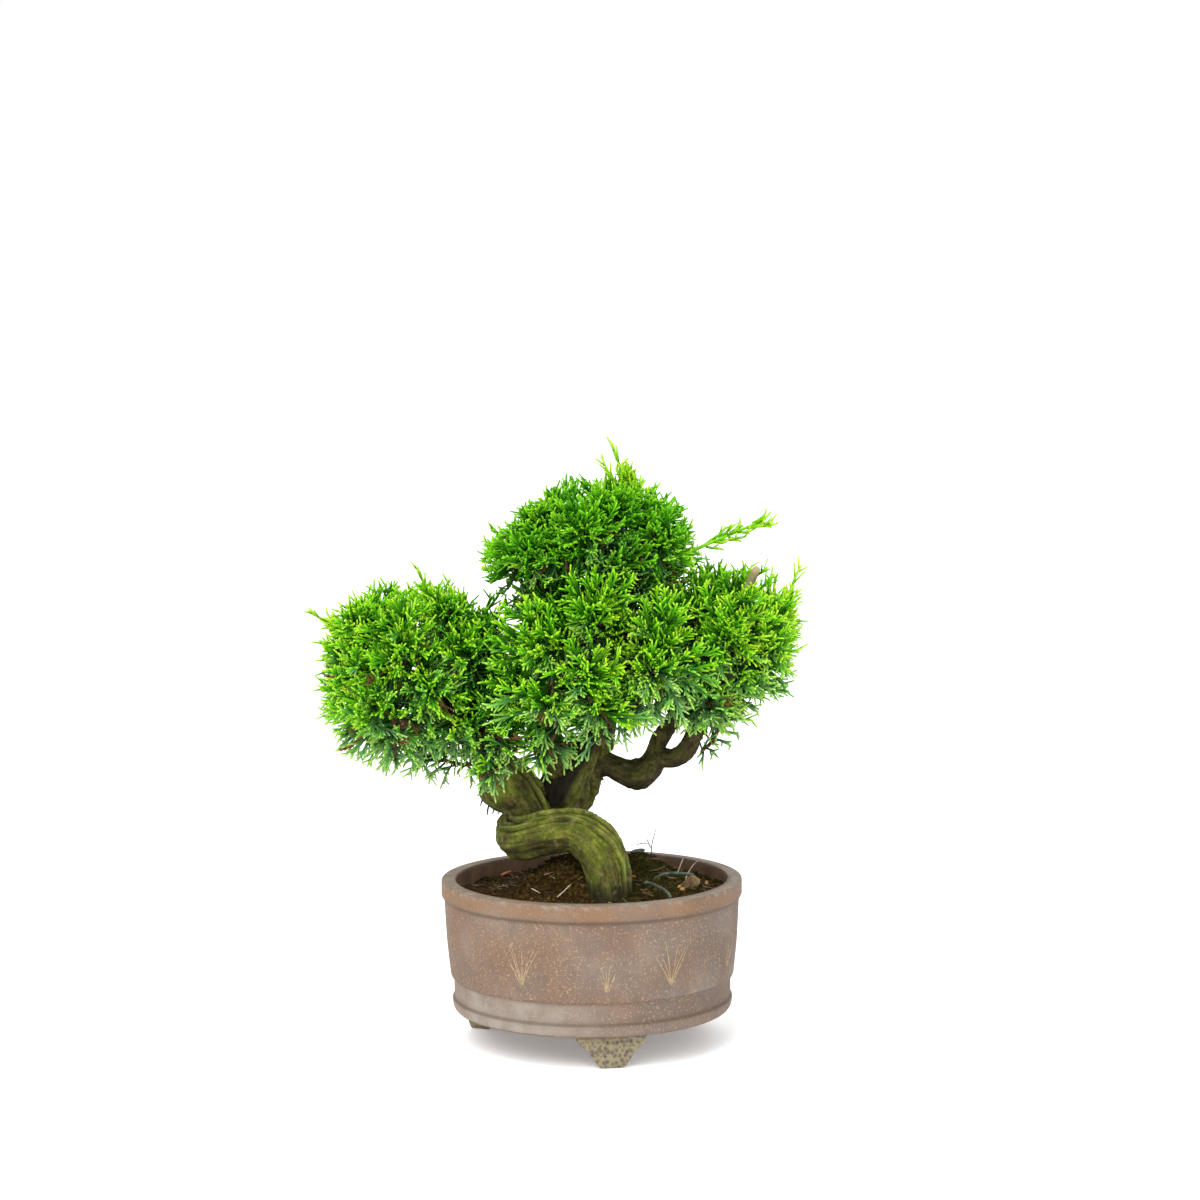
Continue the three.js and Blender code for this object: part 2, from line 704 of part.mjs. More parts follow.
function anyMeet(faces, others) {
  return faces.some((face) => others.some((other) => {
    if (other === face) return false;
    const room = face.reach + other.reach;
    if (face.middle.distanceToSquared(other.middle) > room * room) return false;
    return facesMeet(face, other);
  }));
}

// The skins of the wood and of every spray so far, as lists of faces.
const woodGeometry = toGeometry(woodSolid());
const skins = [facesOf(woodGeometry)];
function facesOf(geometry) {
  const { position } = geometry.attributes;
  const points = Array.from({ length: position.count }, (_, i) => {
    return new THREE.Vector3().fromBufferAttribute(position, i);
  });
  const faces = [];
  for (let i = 0; i < geometry.index.count; i += 3) {
    faces.push(skinFace(points, [0, 1, 2].map((k) => geometry.index.getX(i + k))));
  }
  return faces;
}

function meetsOtherSkins(faces, ownSkin) {
  const box = new THREE.Box3().setFromPoints(faces.flatMap((face) => face.spots));
  return skins.some((skin) => {
    if (skin === ownSkin) return false;
    return anyMeet(faces, skin.filter((face) => box.distanceToPoint(face.middle) < face.reach));
  });
}

// The wood as rods from ring to ring.
const RIDGE_ALLOWANCE = 1.13;
function placeWood(stations, steps, relief = 1) {
  const rings = limbRings(stations, steps);
  rings.slice(1).forEach((ring, i) => {
    const [ra, rb] = [rings[i].radius * relief, ring.radius * relief];
    place({ a: rings[i].point, b: ring.point, ra, rb, wood: stations });
  });
}
placeWood(trunkStations, TRUNK_STEPS, RIDGE_ALLOWANCE);
Object.values(lowerLimbs).forEach((stations) => placeWood(stations, limbSteps(stations)));
Object.values(branches).forEach((stations) => placeWood(stations, branchSteps(stations)));

// Places along a limb where a spray may spring.
const SPRING_PITCH = 4.5;
function springsOn(name) {
  const stations = branches[name] || lowerLimbs[name];
  const steps = branches[name] ? branchSteps(stations) : limbSteps(stations);
  const rings = limbRings(stations, steps);
  const springs = [];
  rings.slice(1).forEach((ring, i) => {
    const from = rings[i];
    const way = ring.point.clone().sub(from.point);
    const count = Math.max(1, Math.round(way.length() / SPRING_PITCH));
    for (let k = 1; k <= count; k++) {
      const point = from.point.clone().addScaledVector(way, k / count);
      const radius = THREE.MathUtils.lerp(from.radius, ring.radius, k / count);
      springs.push({ point, tangent: way.clone().normalize(), radius, wood: stations });
    }
  });
  springs.at(-1).isEnd = true;
  return springs;
}

// Where a twig leaves its limb for a goal: its root face just clear of the bark, and its first
// direction, square to the limb with a lean along it.
function rootOf(spring, goal, twigR) {
  const toGoal = goal.clone().sub(spring.point).normalize();
  const along = toGoal.dot(spring.tangent);
  if (spring.isEnd && along > 0.2) {
    const heading = toGoal.clone().addScaledVector(spring.tangent, 0.8).normalize();
    const tilt = Math.sqrt(Math.max(0, 1 - heading.dot(spring.tangent) ** 2));
    const start = GAP + 0.1 + twigR * tilt;
    return { root: spring.point.clone().addScaledVector(spring.tangent, start), heading };
  }
  const square = toGoal.clone().addScaledVector(spring.tangent, -along).normalize();
  const lean = THREE.MathUtils.clamp(along, -0.35, 0.6);
  const heading = square.addScaledVector(spring.tangent, lean).normalize();
  const cos = Math.abs(heading.dot(spring.tangent));
  const sin = Math.sqrt(1 - cos * cos);
  const start = (spring.radius + GAP + 0.1 + twigR * cos) / sin;
  return { root: spring.point.clone().addScaledVector(heading, start), heading };
}

// One arm of a spray: its curve from its root to the apex of its last shoot, the places of its
// rings as shares of its length, and the rods that it fills.
const BARE_PITCH = 5;
let armCount = 0;
function makeArm(root, heading, tip, outward, style, owner) {
  const end = tip.clone().addScaledVector(outward, -TIP_LENGTH);
  const reach = root.distanceTo(end);
  const curve = new THREE.CubicBezierCurve3(
    root,
    root.clone().addScaledVector(heading, reach * 0.35),
    end.clone().addScaledVector(outward, -reach * 0.3),
    end,
  );
  const length = curve.getLength();
  const bands = Math.min(style.bands, Math.floor((length - 2) / style.pitch));
  const bare = length - bands * style.pitch;
  const bareBands = Math.max(1, Math.round(bare / BARE_PITCH));
  const places = [];
  for (let i = 0; i < bareBands; i++) places.push((bare * i) / bareBands / length);
  for (let i = 0; i < bands; i++) places.push((bare + i * style.pitch) / length);
  places.push(1);
  armCount += 1;
  const radius = (u) => THREE.MathUtils.lerp(style.rootR, style.tipR, u);
  const rods = places.slice(1).map((u, i) => ({
    a: curve.getPointAt(places[i]),
    b: curve.getPointAt(u),
    ra: radius(places[i]),
    rb: radius(u),
    owner,
    core: armCount,
  }));
  rods.push({ a: end, b: tip, ra: style.tipR, rb: 0, owner, core: armCount, isTip: true });
  return { id: armCount, owner, style, curve, places, bareBands, bands, radius, tip, rods };
}

// Gives an arm its skin: three corners a ring, every ring turned half a corner from the last. A
// side arm starts from a face of its spray's first arm.
function skinArm(points, arm, firstRing) {
  const tangents = arm.places.map((u) => arm.curve.getTangentAt(u));
  const start = firstRing && points[firstRing[0]].clone().sub(arm.curve.getPointAt(0));
  const frames = framesAlong(tangents, start);
  const rings = arm.places.map((u, i) => {
    if (i === 0 && firstRing) return firstRing;
    const centre = arm.curve.getPointAt(u);
    return [0, 1, 2].map((k) => {
      const angle = (2 * Math.PI * k) / 3 + (i * Math.PI) / 3;
      const p = centre.clone().addScaledVector(frames[i].across, arm.radius(u) * Math.cos(angle));
      return points.push(p.addScaledVector(frames[i].up, arm.radius(u) * Math.sin(angle))) - 1;
    });
  });
  arm.cells = [];
  for (let i = 0; i + 1 < rings.length; i++) {
    for (let k = 0; k < 3; k++) {
      const [a, b] = [rings[i][k], rings[i][(k + 1) % 3]];
      const [c, d] = [rings[i + 1][k], rings[i + 1][(k + 1) % 3]];
      const cell = { band: i - arm.bareBands, tangent: tangents[i], u: arm.places[i], arm };
      arm.cells.push({ ...cell, face: skinFace(points, [a, b, c]) });
      arm.cells.push({ ...cell, face: skinFace(points, [c, b, d]) });
    }
  }
  const apex = points.push(arm.tip) - 1;
  const last = rings.at(-1);
  arm.ends = [0, 1, 2].map((k) => skinFace(points, [last[k], last[(k + 1) % 3], apex]));
  if (!firstRing) arm.ends.push(skinFace(points, [rings[0][0], rings[0][2], rings[0][1]]));
}

function faceNormal(points, { corners: [a, b, c] }) {
  const edge = points[b].clone().sub(points[a]);
  return edge.cross(points[c].clone().sub(points[a])).normalize();
}

// Takes out the cell of an arm that best faces a goal near a share of the arm's length.
function takeCell(points, arm, share, goal) {
  const score = (cell) => {
    const way = goal.clone().sub(cell.face.middle).normalize();
    const early = cell.u === 0 ? 1 : 0;
    return faceNormal(points, cell.face).dot(way) - 3 * Math.abs(cell.u - share) - early;
  };
  const best = arm.cells.reduce((one, other) => (score(other) > score(one) ? other : one));
  arm.cells.splice(arm.cells.indexOf(best), 1);
  return best;
}

// True where an arm's twig meets no wood but the limb that it springs from, and no other spray.
function armFits(arm, wood) {
  return arm.rods.every((rod, i) => {
    return isClear(rod, (other) => {
      if (other.owner !== undefined) return other.owner === arm.owner;
      return other.wood === wood && i < 1;
    });
  });
}

// The crown's sprays. Tips are spread evenly over each pad by the golden angle, those inside
// another pad are left out, and neighbours share a spray.
const SQUARENESS = 2.5;
const GOLDEN_ANGLE = Math.PI * (3 - Math.sqrt(5));
function insideOther(point, pad) {
  return pads.some((other) => {
    if (other === pad) return false;
    const away = [0, 1, 2].map((k) => (point.getComponent(k) - other.centre[k]) / other.size[k]);
    return Math.hypot(...away) < 0.8;
  });
}

function tipsOf(pad) {
  const tips = [];
  for (let i = 0; i < pad.arms; i++) {
    const z = 1 - (2 * (i + 0.5)) / pad.arms;
    const flat = Math.sqrt(1 - z * z);
    const turn = i * GOLDEN_ANGLE + 0.4;
    const unit = [flat * Math.cos(turn), flat * Math.sin(turn), z];
    const bulge = unit.reduce((sum, c) => sum + Math.abs(c) ** SQUARENESS, 0) ** (-1 / SQUARENESS);
    const scale = bulge * (0.94 + 0.1 * draw());
    const point = vector(unit.map((c, k) => pad.centre[k] + c * pad.size[k] * scale));
    const outward = vector(unit.map((c, k) => c / pad.size[k])).normalize();
    outward.z += 0.3;
    outward.normalize();
    if (!insideOther(point, pad)) tips.push({ point, outward });
  }
  return tips;
}

// Neighbouring tips in threes or fewer, for one spray each.
const SPRAY_WIDTH = 36;
function groupsOf(tips) {
  const left = [...tips];
  const groups = [];
  while (left.length) {
    const first = left.shift();
    const near = left.filter((tip) => tip.point.distanceTo(first.point) < SPRAY_WIDTH);
    near.sort((a, b) => a.point.distanceTo(first.point) - b.point.distanceTo(first.point));
    const own = near.slice(0, 2);
    own.forEach((tip) => left.splice(left.indexOf(tip), 1));
    groups.push([first, ...own]);
  }
  return groups;
}

const sprays = [];
const FORKS_AT = [0.3, 0.5];
function growSpray(tips, springs, name) {
  const goal = tips.reduce((sum, tip) => sum.add(tip.point), new THREE.Vector3());
  goal.multiplyScalar(1 / tips.length);
  const ranked = springs.filter((spring) => !spring.isTaken).map((spring) => {
    const toGoal = goal.clone().sub(spring.point);
    const far = toGoal.length();
    const backward = Math.max(0, -toGoal.dot(spring.tangent) / far);
    const cramped = far < 24 ? (24 - far) * 1.5 : 0;
    return { spring, cost: far + 18 * backward + cramped };
  });
  ranked.sort((a, b) => a.cost - b.cost);
  for (const { spring } of ranked) {
    for (let attempt = 0; attempt < 6; attempt++) {
      const jitter = () => (draw() - 0.5) * 4 * attempt;
      const moved = tips.map(({ point, outward }) => {
        const by = new THREE.Vector3(jitter(), jitter(), jitter());
        return { point: point.clone().add(by), outward };
      });
      const { root, heading } = rootOf(spring, moved[0].point, FULL_ARM.rootR);
      const points = [];
      const main = makeArm(root, heading, moved[0].point, moved[0].outward, FULL_ARM, name);
      skinArm(points, main);
      const own = [main];
      moved.slice(1).forEach(({ point, outward }, i) => {
        const { face } = takeCell(points, main, FORKS_AT[i], point);
        const start = face.middle.clone();
        const turn = point.clone().sub(start).normalize().add(faceNormal(points, face));
        const arm = makeArm(start, turn.normalize(), point, outward, SIDE_ARM, name);
        skinArm(points, arm, face.corners);
        own.push(arm);
      });
      if (!own.every((arm) => arm.bands > 2 && armFits(arm, spring.wood))) continue;
      const faces = own.flatMap((arm) => [...arm.ends, ...arm.cells.map((cell) => cell.face)]);
      if (anyMeet(faces, faces) || meetsOtherSkins(faces)) continue;
      spring.isTaken = true;
      own.forEach((arm) => arm.rods.forEach(place));
      sprays.push({ name, points, arms: own, faces });
      skins.push(faces);
      return true;
    }
  }
  return false;
}

const springsByLimb = {};
[...Object.keys(branches), ...Object.keys(lowerLimbs)].forEach((name) => {
  springsByLimb[name] = springsOn(name);
});

sprigs.forEach(({ limb, tip }, i) => {
  const name = `sprig_${i + 1}`;
  const spring = springsByLimb[limb].at(-1);
  const goal = vector(tip);
  const { root, heading } = rootOf(spring, goal, SPRIG_ARM.rootR);
  const outward = goal.clone().sub(root).normalize();
  const arm = makeArm(root, heading, goal, outward, SPRIG_ARM, name);
  const points = [];
  skinArm(points, arm);
  spring.isTaken = true;
  arm.rods.forEach(place);
  const faces = [...arm.ends, ...arm.cells.map((cell) => cell.face)];
  sprays.push({ name, points, arms: [arm], faces });
  skins.push(faces);
});

let sprayNumber = 0;
pads.forEach((pad) => {
  const springs = pad.limbs.flatMap((name) => springsByLimb[name]);
  groupsOf(tipsOf(pad)).forEach((tips) => {
    const name = `spray_${String(sprayNumber + 1).padStart(2, "0")}`;
    if (growSpray(tips, springs, name)) sprayNumber += 1;
  });
});

// Draws a twig's face out into a shoot. It is turned and then shortened until it is clear of all
// else, and where nothing fits, the face stays flat.
const TURNS = [0, 0.3, -0.3, 0.6, -0.6, 0.9, -0.9];
const LENGTHS = [1, 0.8, 0.6, 0.42];
const SHOOT_BASE_R = 1.05;
const SHOOT_CORNER_R = 1.5;
function growShoot(cell, { points, faces }) {
  const { face, band, tangent, arm } = cell;
  const foot = face.middle;
  const radial = faceNormal(points, face);
  radial.addScaledVector(tangent, -radial.dot(tangent)).normalize();
  const side = tangent.clone().cross(radial);
  const along = arm.bands > 1 ? band / (arm.bands - 1) : 1;
  const lean = THREE.MathUtils.lerp(...arm.style.spread, along) + (draw() - 0.5) * 0.24;
  const full = arm.style.shoot * (0.82 + 0.3 * draw());
  const first = draw() < 0.5 ? 1 : -1;
  for (const share of LENGTHS) {
    for (const turn of TURNS) {
      const sideways = side.clone().multiplyScalar(Math.sin(turn * first));
      const out = radial.clone().multiplyScalar(Math.cos(turn)).add(sideways);
      const way = out.multiplyScalar(Math.sin(lean)).addScaledVector(tangent, Math.cos(lean));
      const tip = foot.clone().addScaledVector(way, full * share);
      const rod = { a: foot, b: tip, ra: SHOOT_BASE_R, rb: 0, owner: arm.owner, arm: arm.id };
      if (!isClear(rod, (other) => other.core === arm.id && !other.isTip)) continue;
      const wide = { ...rod, ra: SHOOT_CORNER_R };
      if (!isClear(wide, (other) => other.owner === arm.owner)) continue;
      const apex = points.push(tip) - 1;
      const shoot = [0, 1, 2].map((k) => {
        return skinFace(points, [face.corners[k], face.corners[(k + 1) % 3], apex]);
      });
      const others = faces.filter((other) => other !== face);
      if (anyMeet(shoot, others) || meetsOtherSkins(shoot, faces)) {
        points.pop();
        continue;
      }
      place(rod);
      faces.splice(faces.indexOf(face), 1, ...shoot);
      return;
    }
  }
}

// The outermost shoots of all sprays are drawn first, so that the crown's skin keeps them.
const mostBands = Math.max(...sprays.flatMap((spray) => spray.arms).map((arm) => arm.bands));
for (let fromTip = 1; fromTip <= mostBands; fromTip++) {
  sprays.forEach((spray) => {
    spray.arms.forEach((arm) => {
      const ring = arm.cells.filter((cell) => cell.band === arm.bands - fromTip);
      ring.forEach((cell) => growShoot(cell, spray));
    });
  });
}

function sprayGeometry(spray) {
  const geometry = new THREE.BufferGeometry().setFromPoints(spray.points);
  geometry.setIndex(spray.faces.flatMap((face) => face.corners));
  geometry.computeVertexNormals();
  return geometry;
}

const group = new THREE.Group();
function addPart(name, geometry, color, roughness, metalness = 0) {
  const material = new THREE.MeshStandardMaterial({ color, roughness, metalness });
  const mesh = new THREE.Mesh(geometry, material);
  mesh.name = name;
  group.add(mesh);
}

const rootRoom = rootSolid(GAP + 0.05);
const tieRoom = toSolid(wireGeometry(tieRoute, TIE_WIRE, GAP + 0.1));
addPart("pot", toGeometry(potSolid()), CLAY, 0.8);
addPart("drain_screen", toGeometry(screenSolid()), 0x2c3230, 0.6);
addPart("screen_clip", toGeometry(toSolid(wireGeometry(clipRoute, CLIP_WIRE))), 0xb9bcbf, 0.4, 1);
addPart("drainage_grit", toGeometry(gritSolid().subtract(tieRoom)), 0x8a7a66, 0.95);
addPart("soil", toGeometry(toSolid(soilGeometry()).subtract(rootRoom).subtract(tieRoom)), 0x3a2c1e, 1);
addPart("tie_wire", toGeometry(toSolid(wireGeometry(tieRoute, TIE_WIRE))), WIRE_GREY, 0.5, 0.6);
addPart("trunk", woodGeometry, 0x5b5a2c, 0.9);
sprays.forEach((spray) => addPart(spray.name, sprayGeometry(spray), 0x3f9a1c, 0.75));

// The origin is the middle of the base of the whole object's box.
const box = new THREE.Box3().setFromObject(group);
const middle = box.getCenter(new THREE.Vector3());
group.position.set(-middle.x, -middle.y, -box.min.z);

export default group;
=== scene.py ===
# %% [markdown]
# A Chinese juniper bonsai in a round, unglazed pot on three feet. The frame holds every piece at its
# real size and place. This file models each one finely around it: a thrown clay pot, soil with
# moss and litter, a folded and ridged trunk, and a crown of cord-like shoots.

import math
import random

import bmesh
import bpy
import numpy as np
from mathutils import Matrix, Vector, noise
from mathutils.kdtree import KDTree


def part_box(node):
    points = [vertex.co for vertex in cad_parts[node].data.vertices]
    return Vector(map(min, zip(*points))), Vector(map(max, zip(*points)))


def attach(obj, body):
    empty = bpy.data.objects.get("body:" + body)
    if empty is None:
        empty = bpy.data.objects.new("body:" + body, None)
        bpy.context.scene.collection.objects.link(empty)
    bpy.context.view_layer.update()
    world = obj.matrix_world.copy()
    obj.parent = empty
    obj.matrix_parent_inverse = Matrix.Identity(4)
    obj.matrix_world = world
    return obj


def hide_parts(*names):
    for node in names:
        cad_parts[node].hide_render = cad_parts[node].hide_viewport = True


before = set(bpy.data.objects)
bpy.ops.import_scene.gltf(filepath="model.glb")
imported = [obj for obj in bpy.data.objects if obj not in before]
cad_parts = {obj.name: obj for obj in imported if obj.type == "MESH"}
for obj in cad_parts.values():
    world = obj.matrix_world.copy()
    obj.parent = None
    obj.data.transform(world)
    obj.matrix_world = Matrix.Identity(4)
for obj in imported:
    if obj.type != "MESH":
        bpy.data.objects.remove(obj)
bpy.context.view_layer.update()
print("nodes in the frame:", len(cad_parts))

# %% [markdown]
# Sizes below are in millimetres about the pot's own axis, as a potter or a grower would measure
# them. One function turns such a point into a place in the frame.

# %% Places and helpers
MM = 0.001
pot_low, pot_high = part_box("pot")
POT_X = (pot_low.x + pot_high.x) / 2
POT_Y = (pot_low.y + pot_high.y) / 2


def place(x, y, z):
    """A point in millimetres about the pot's axis, as a place in the frame."""
    return Vector((POT_X + x * MM, POT_Y + y * MM, z * MM))


def pick(piece):
    """Makes a piece the only selected object and the active one."""
    bpy.ops.object.select_all(action="DESELECT")
    piece.select_set(True)
    bpy.context.view_layer.objects.active = piece


def modify(piece, kind, **settings):
    """Adds a modifier to a piece and applies it."""
    pick(piece)
    modifier = piece.modifiers.new(kind.title(), kind)
    for setting, value in settings.items():
        setattr(modifier, setting, value)
    bpy.ops.object.modifier_apply(modifier=modifier.name)


def clean(piece, distance=1e-6):
    """Merges a mesh's doubled points and turns its faces outwards."""
    pick(piece)
    bpy.ops.object.mode_set(mode="EDIT")
    bpy.ops.mesh.select_all(action="SELECT")
    bpy.ops.mesh.remove_doubles(threshold=distance)
    bpy.ops.mesh.normals_make_consistent(inside=False)
    bpy.ops.object.mode_set(mode="OBJECT")


def join(pieces, name):
    """Joins pieces into the first one."""
    bpy.ops.object.select_all(action="DESELECT")
    for piece in pieces:
        piece.select_set(True)
    bpy.context.view_layer.objects.active = pieces[0]
    bpy.ops.object.join()
    bpy.ops.object.transform_apply(location=True, rotation=True, scale=True)
    pieces[0].name = name
    return pieces[0]


def smooth(piece):
    """Shades a piece as one smooth skin."""
    pick(piece)
    bpy.ops.object.shade_smooth()


def repaint(piece, material):
    """Gives a piece one material in place of those it has."""
    piece.data.materials.clear()
    piece.data.materials.append(material)


def mesh_piece(name, points, faces):
    """A piece from a list of points in metres and a list of faces."""
    mesh = bpy.data.meshes.new(name)
    mesh.from_pydata(points, [], faces)
    mesh.update()
    piece = bpy.data.objects.new(name, mesh)
    bpy.context.scene.collection.objects.link(piece)
    return piece


def cad_copy(node, name):
    """A copy of a node's mesh, merged into one skin, to be shaped further."""
    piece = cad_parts[node].copy()
    piece.data = piece.data.copy()
    piece.parent = None
    for key in list(piece.keys()):
        del piece[key]
    piece.name = name
    bpy.context.scene.collection.objects.link(piece)
    clean(piece)
    return piece


def points_of(piece):
    """A mesh's points as an array of x, y, z in millimetres about the pot's axis."""
    flat = np.zeros(len(piece.data.vertices) * 3)
    piece.data.vertices.foreach_get("co", flat)
    return (flat.reshape(-1, 3) - (POT_X, POT_Y, 0)) / MM


def set_points(piece, points):
    """Gives a mesh its points back from millimetres about the pot's axis."""
    piece.data.vertices.foreach_set("co", (points * MM + (POT_X, POT_Y, 0)).ravel())
    piece.data.update()


def normals_of(piece):
    """A mesh's point normals as an array."""
    flat = np.zeros(len(piece.data.vertices) * 3)
    piece.data.vertex_normals.foreach_get("vector", flat)
    return flat.reshape(-1, 3)


def noise_at(points, size, seed=0.0):
    """Smooth noise from -1 to 1 at points in millimetres, with lumps of about a size."""
    return np.array([noise.noise(Vector(p) / size + Vector((seed, seed, seed))) for p in points])


def paint(piece, name, values):
    """Stores a value for each point of a mesh, for its material to read."""
    attribute = piece.data.attributes.new(name, "FLOAT", "POINT")
    attribute.data.foreach_set("value", np.asarray(values, dtype=np.float32))


print("pot axis at", round(POT_X, 5), round(POT_Y, 5))

# %% [markdown]
# The camera stands about 1.1 m in front of the pot and a little above the crown, and looks
# slightly down, as in the photograph. Its place and turn were worked out from the rim's ellipse
# and the height of the pot. A long lens keeps the pot's sides nearly upright.

# %% Camera
CAMERA_PLACE = (4.0, -1088.0, 273.0)
CAMERA_PITCH = 0.089
CAMERA_ROLL = -0.006
FOCAL_PIXELS = 2757.0
FRAME_PIXELS = 1200.0
SENSOR = 36.0

bpy.ops.object.camera_add(location=place(*CAMERA_PLACE))
camera = bpy.context.object
camera.name = "camera"
camera.rotation_euler = Matrix.Rotation(math.pi / 2 - CAMERA_PITCH, 3, "X").to_euler()
camera.rotation_euler.rotate_axis("Z", CAMERA_ROLL)
camera.data.sensor_width = SENSOR
camera.data.lens = SENSOR * FOCAL_PIXELS / FRAME_PIXELS
camera.data.clip_end = 20
bpy.context.scene.camera = camera
print("lens", round(camera.data.lens, 1), "mm")

# %% [markdown]
# The studio is a plain white floor under broad, soft light: a large lamp high at the left, a
# weaker one at the right, one in front, and one behind that lights the crown's edge. The sky
# behind is plain white to the eye, and a little dimmer as a light, so the crown keeps its depth.

# %% Floor and light
bpy.ops.mesh.primitive_plane_add(size=12, location=(0, 0, 0))
floor = bpy.context.object
floor.name = "floor"

SKY_SEEN = 1.0
SKY_LIGHT = 0.75
world = bpy.data.worlds.new("studio")
bpy.context.scene.world = world
world.use_nodes = True
sky = world.node_tree
sky.nodes["Background"].inputs["Color"].default_value = (1, 1, 1, 1)
seen = sky.nodes.new("ShaderNodeLightPath")
level = sky.nodes.new("ShaderNodeMapRange")
level.inputs["To Min"].default_value = SKY_LIGHT
level.inputs["To Max"].default_value = SKY_SEEN
sky.links.new(seen.outputs["Is Camera Ray"], level.inputs["Value"])
sky.links.new(level.outputs["Result"], sky.nodes["Background"].inputs["Strength"])
bpy.context.scene.view_settings.view_transform = "Standard"


def far_lamp(name, way, strength, spread):
    """A broad far lamp that shines from a way, with soft shadows by its spread in degrees."""
    bpy.ops.object.light_add(type="SUN", location=Vector(way))
    light = bpy.context.object
    light.name = name
    light.data.energy = strength
    light.data.angle = math.radians(spread)
    light.rotation_euler = Vector(way).to_track_quat("Z", "Y").to_euler()


far_lamp("key_lamp", (-0.5, -0.65, 1.0), 2.2, 50)
far_lamp("fill_lamp", (0.9, -0.7, 0.5), 0.6, 70)
far_lamp("front_lamp", (0.1, -1.0, 0.3), 0.8, 60)
far_lamp("back_lamp", (0.1, 0.9, 0.9), 0.9, 60)

# %% [markdown]
# Every finish is a small net of nodes: noise at the scale of the real grain, a ramp that turns it
# into colours, and a bump for what is too fine to model. These helpers keep each recipe short.

# %% Material helpers


def new_material(name, roughness, specular=0.5):
    """A new material with its node tree and its shader."""
    material = bpy.data.materials.new(name)
    material.use_nodes = True
    shader = material.node_tree.nodes["Principled BSDF"]
    shader.inputs["Roughness"].default_value = roughness
    shader.inputs["Specular IOR Level"].default_value = specular
    return material, material.node_tree, shader


def grain(tree, size, detail=4.0, kind="ShaderNodeTexNoise"):
    """Noise, or cells, with lumps of about a size in millimetres, on the object's coordinates."""
    coordinates = tree.nodes.new("ShaderNodeTexCoord")
    texture = tree.nodes.new(kind)
    texture.inputs["Scale"].default_value = 1 / (size * MM)
    if kind == "ShaderNodeTexNoise":
        texture.inputs["Detail"].default_value = detail
    tree.links.new(coordinates.outputs["Object"], texture.inputs["Vector"])
    return texture.outputs[0]


def fibres(tree, size):
    """Noise drawn out along the limbs, from the places that the mesh carries."""
    attribute = tree.nodes.new("ShaderNodeAttribute")
    attribute.attribute_name = "fibre"
    texture = tree.nodes.new("ShaderNodeTexNoise")
    texture.inputs["Scale"].default_value = 1 / size
    texture.inputs["Detail"].default_value = 6
    tree.links.new(attribute.outputs["Vector"], texture.inputs["Vector"])
    return texture.outputs[0]


def painted(tree, name):
    """The value that a mesh carries at each point under a name."""
    attribute = tree.nodes.new("ShaderNodeAttribute")
    attribute.attribute_name = name
    return attribute.outputs["Fac"]


def ramp(tree, value, *stops):
    """Turns a value into colours through stops of place and colour."""
    made = tree.nodes.new("ShaderNodeValToRGB")
    elements = made.color_ramp.elements
    while len(elements) < len(stops):
        elements.new(0.5)
    for element, (spot, color) in zip(elements, stops):
        element.position = spot
        element.color = (*color, 1) if len(color) == 3 else (color[0], color[0], color[0], 1)
    tree.links.new(value, made.inputs["Fac"])
    return made.outputs["Color"]


def blend(tree, share, first, second, way="MIX"):
    """Mixes two colours by a share from 0 to 1."""
    made = tree.nodes.new("ShaderNodeMix")
    made.data_type = "RGBA"
    made.blend_type = way
    for socket, value in ((0, share), (6, first), (7, second)):
        if isinstance(value, bpy.types.NodeSocket):
            tree.links.new(value, made.inputs[socket])
        elif socket == 0:
            made.inputs[0].default_value = value
        else:
            made.inputs[socket].default_value = (*value, 1)
    return made.outputs[2]


def bump(tree, shader, height, depth, below=None):
    """Roughens a shader's surface by a height map, to a depth in millimetres."""
    made = tree.nodes.new("ShaderNodeBump")
    made.inputs["Distance"].default_value = depth * MM
    tree.links.new(height, made.inputs["Height"])
    if below is not None:
        tree.links.new(below, made.inputs["Normal"])
    tree.links.new(made.outputs["Normal"], shader.inputs["Normal"])
    return made.outputs["Normal"]


def low(value):
    """One grey stop for a ramp that shapes a value."""
    return (value,)


print("material helpers are ready")

# %% [markdown]
# The floor is nearly white paper. Light that bounces in a real studio fills the shadow under the
# pot. A very weak glow of the floor's own does the same here, and costs no extra lamp.

# %% Floor paint
FLOOR_GLOW = 0.19
floor_paint, tree, shader = new_material("floor_paint", 0.9, 0.2)
paper = ramp(tree, grain(tree, 90), (0, (0.91, 0.91, 0.91)), (1, (0.94, 0.94, 0.94)))
tree.links.new(paper, shader.inputs["Base Color"])
shader.inputs["Emission Color"].default_value = (1, 1, 1, 1)
shader.inputs["Emission Strength"].default_value = FLOOR_GLOW
floor.data.materials.append(floor_paint)
print("floor glow", FLOOR_GLOW)

# %% [markdown]
# The pot was thrown from an iron-bearing stoneware clay and left unglazed. Fired, it is a warm
# mauve brown with ochre grog showing as specks. Years of hard water have left a pale bloom,
# strongest on the recessed band and low on the wall, and the lip is worn back to orange.

# %% Clay
CLAY_BROWN = (0.192, 0.112, 0.068)
CLAY_MAUVE = (0.138, 0.101, 0.082)
OCHRE = (0.36, 0.225, 0.125)
BLOOM_AND_HIGHLIGHT = (0.31, 0.275, 0.235)
LIP_ORANGE = (0.235, 0.135, 0.072)
# The inner brown is the painted shade inside the rim.
INNER_SHADE_BROWN = (0.11, 0.064, 0.034)

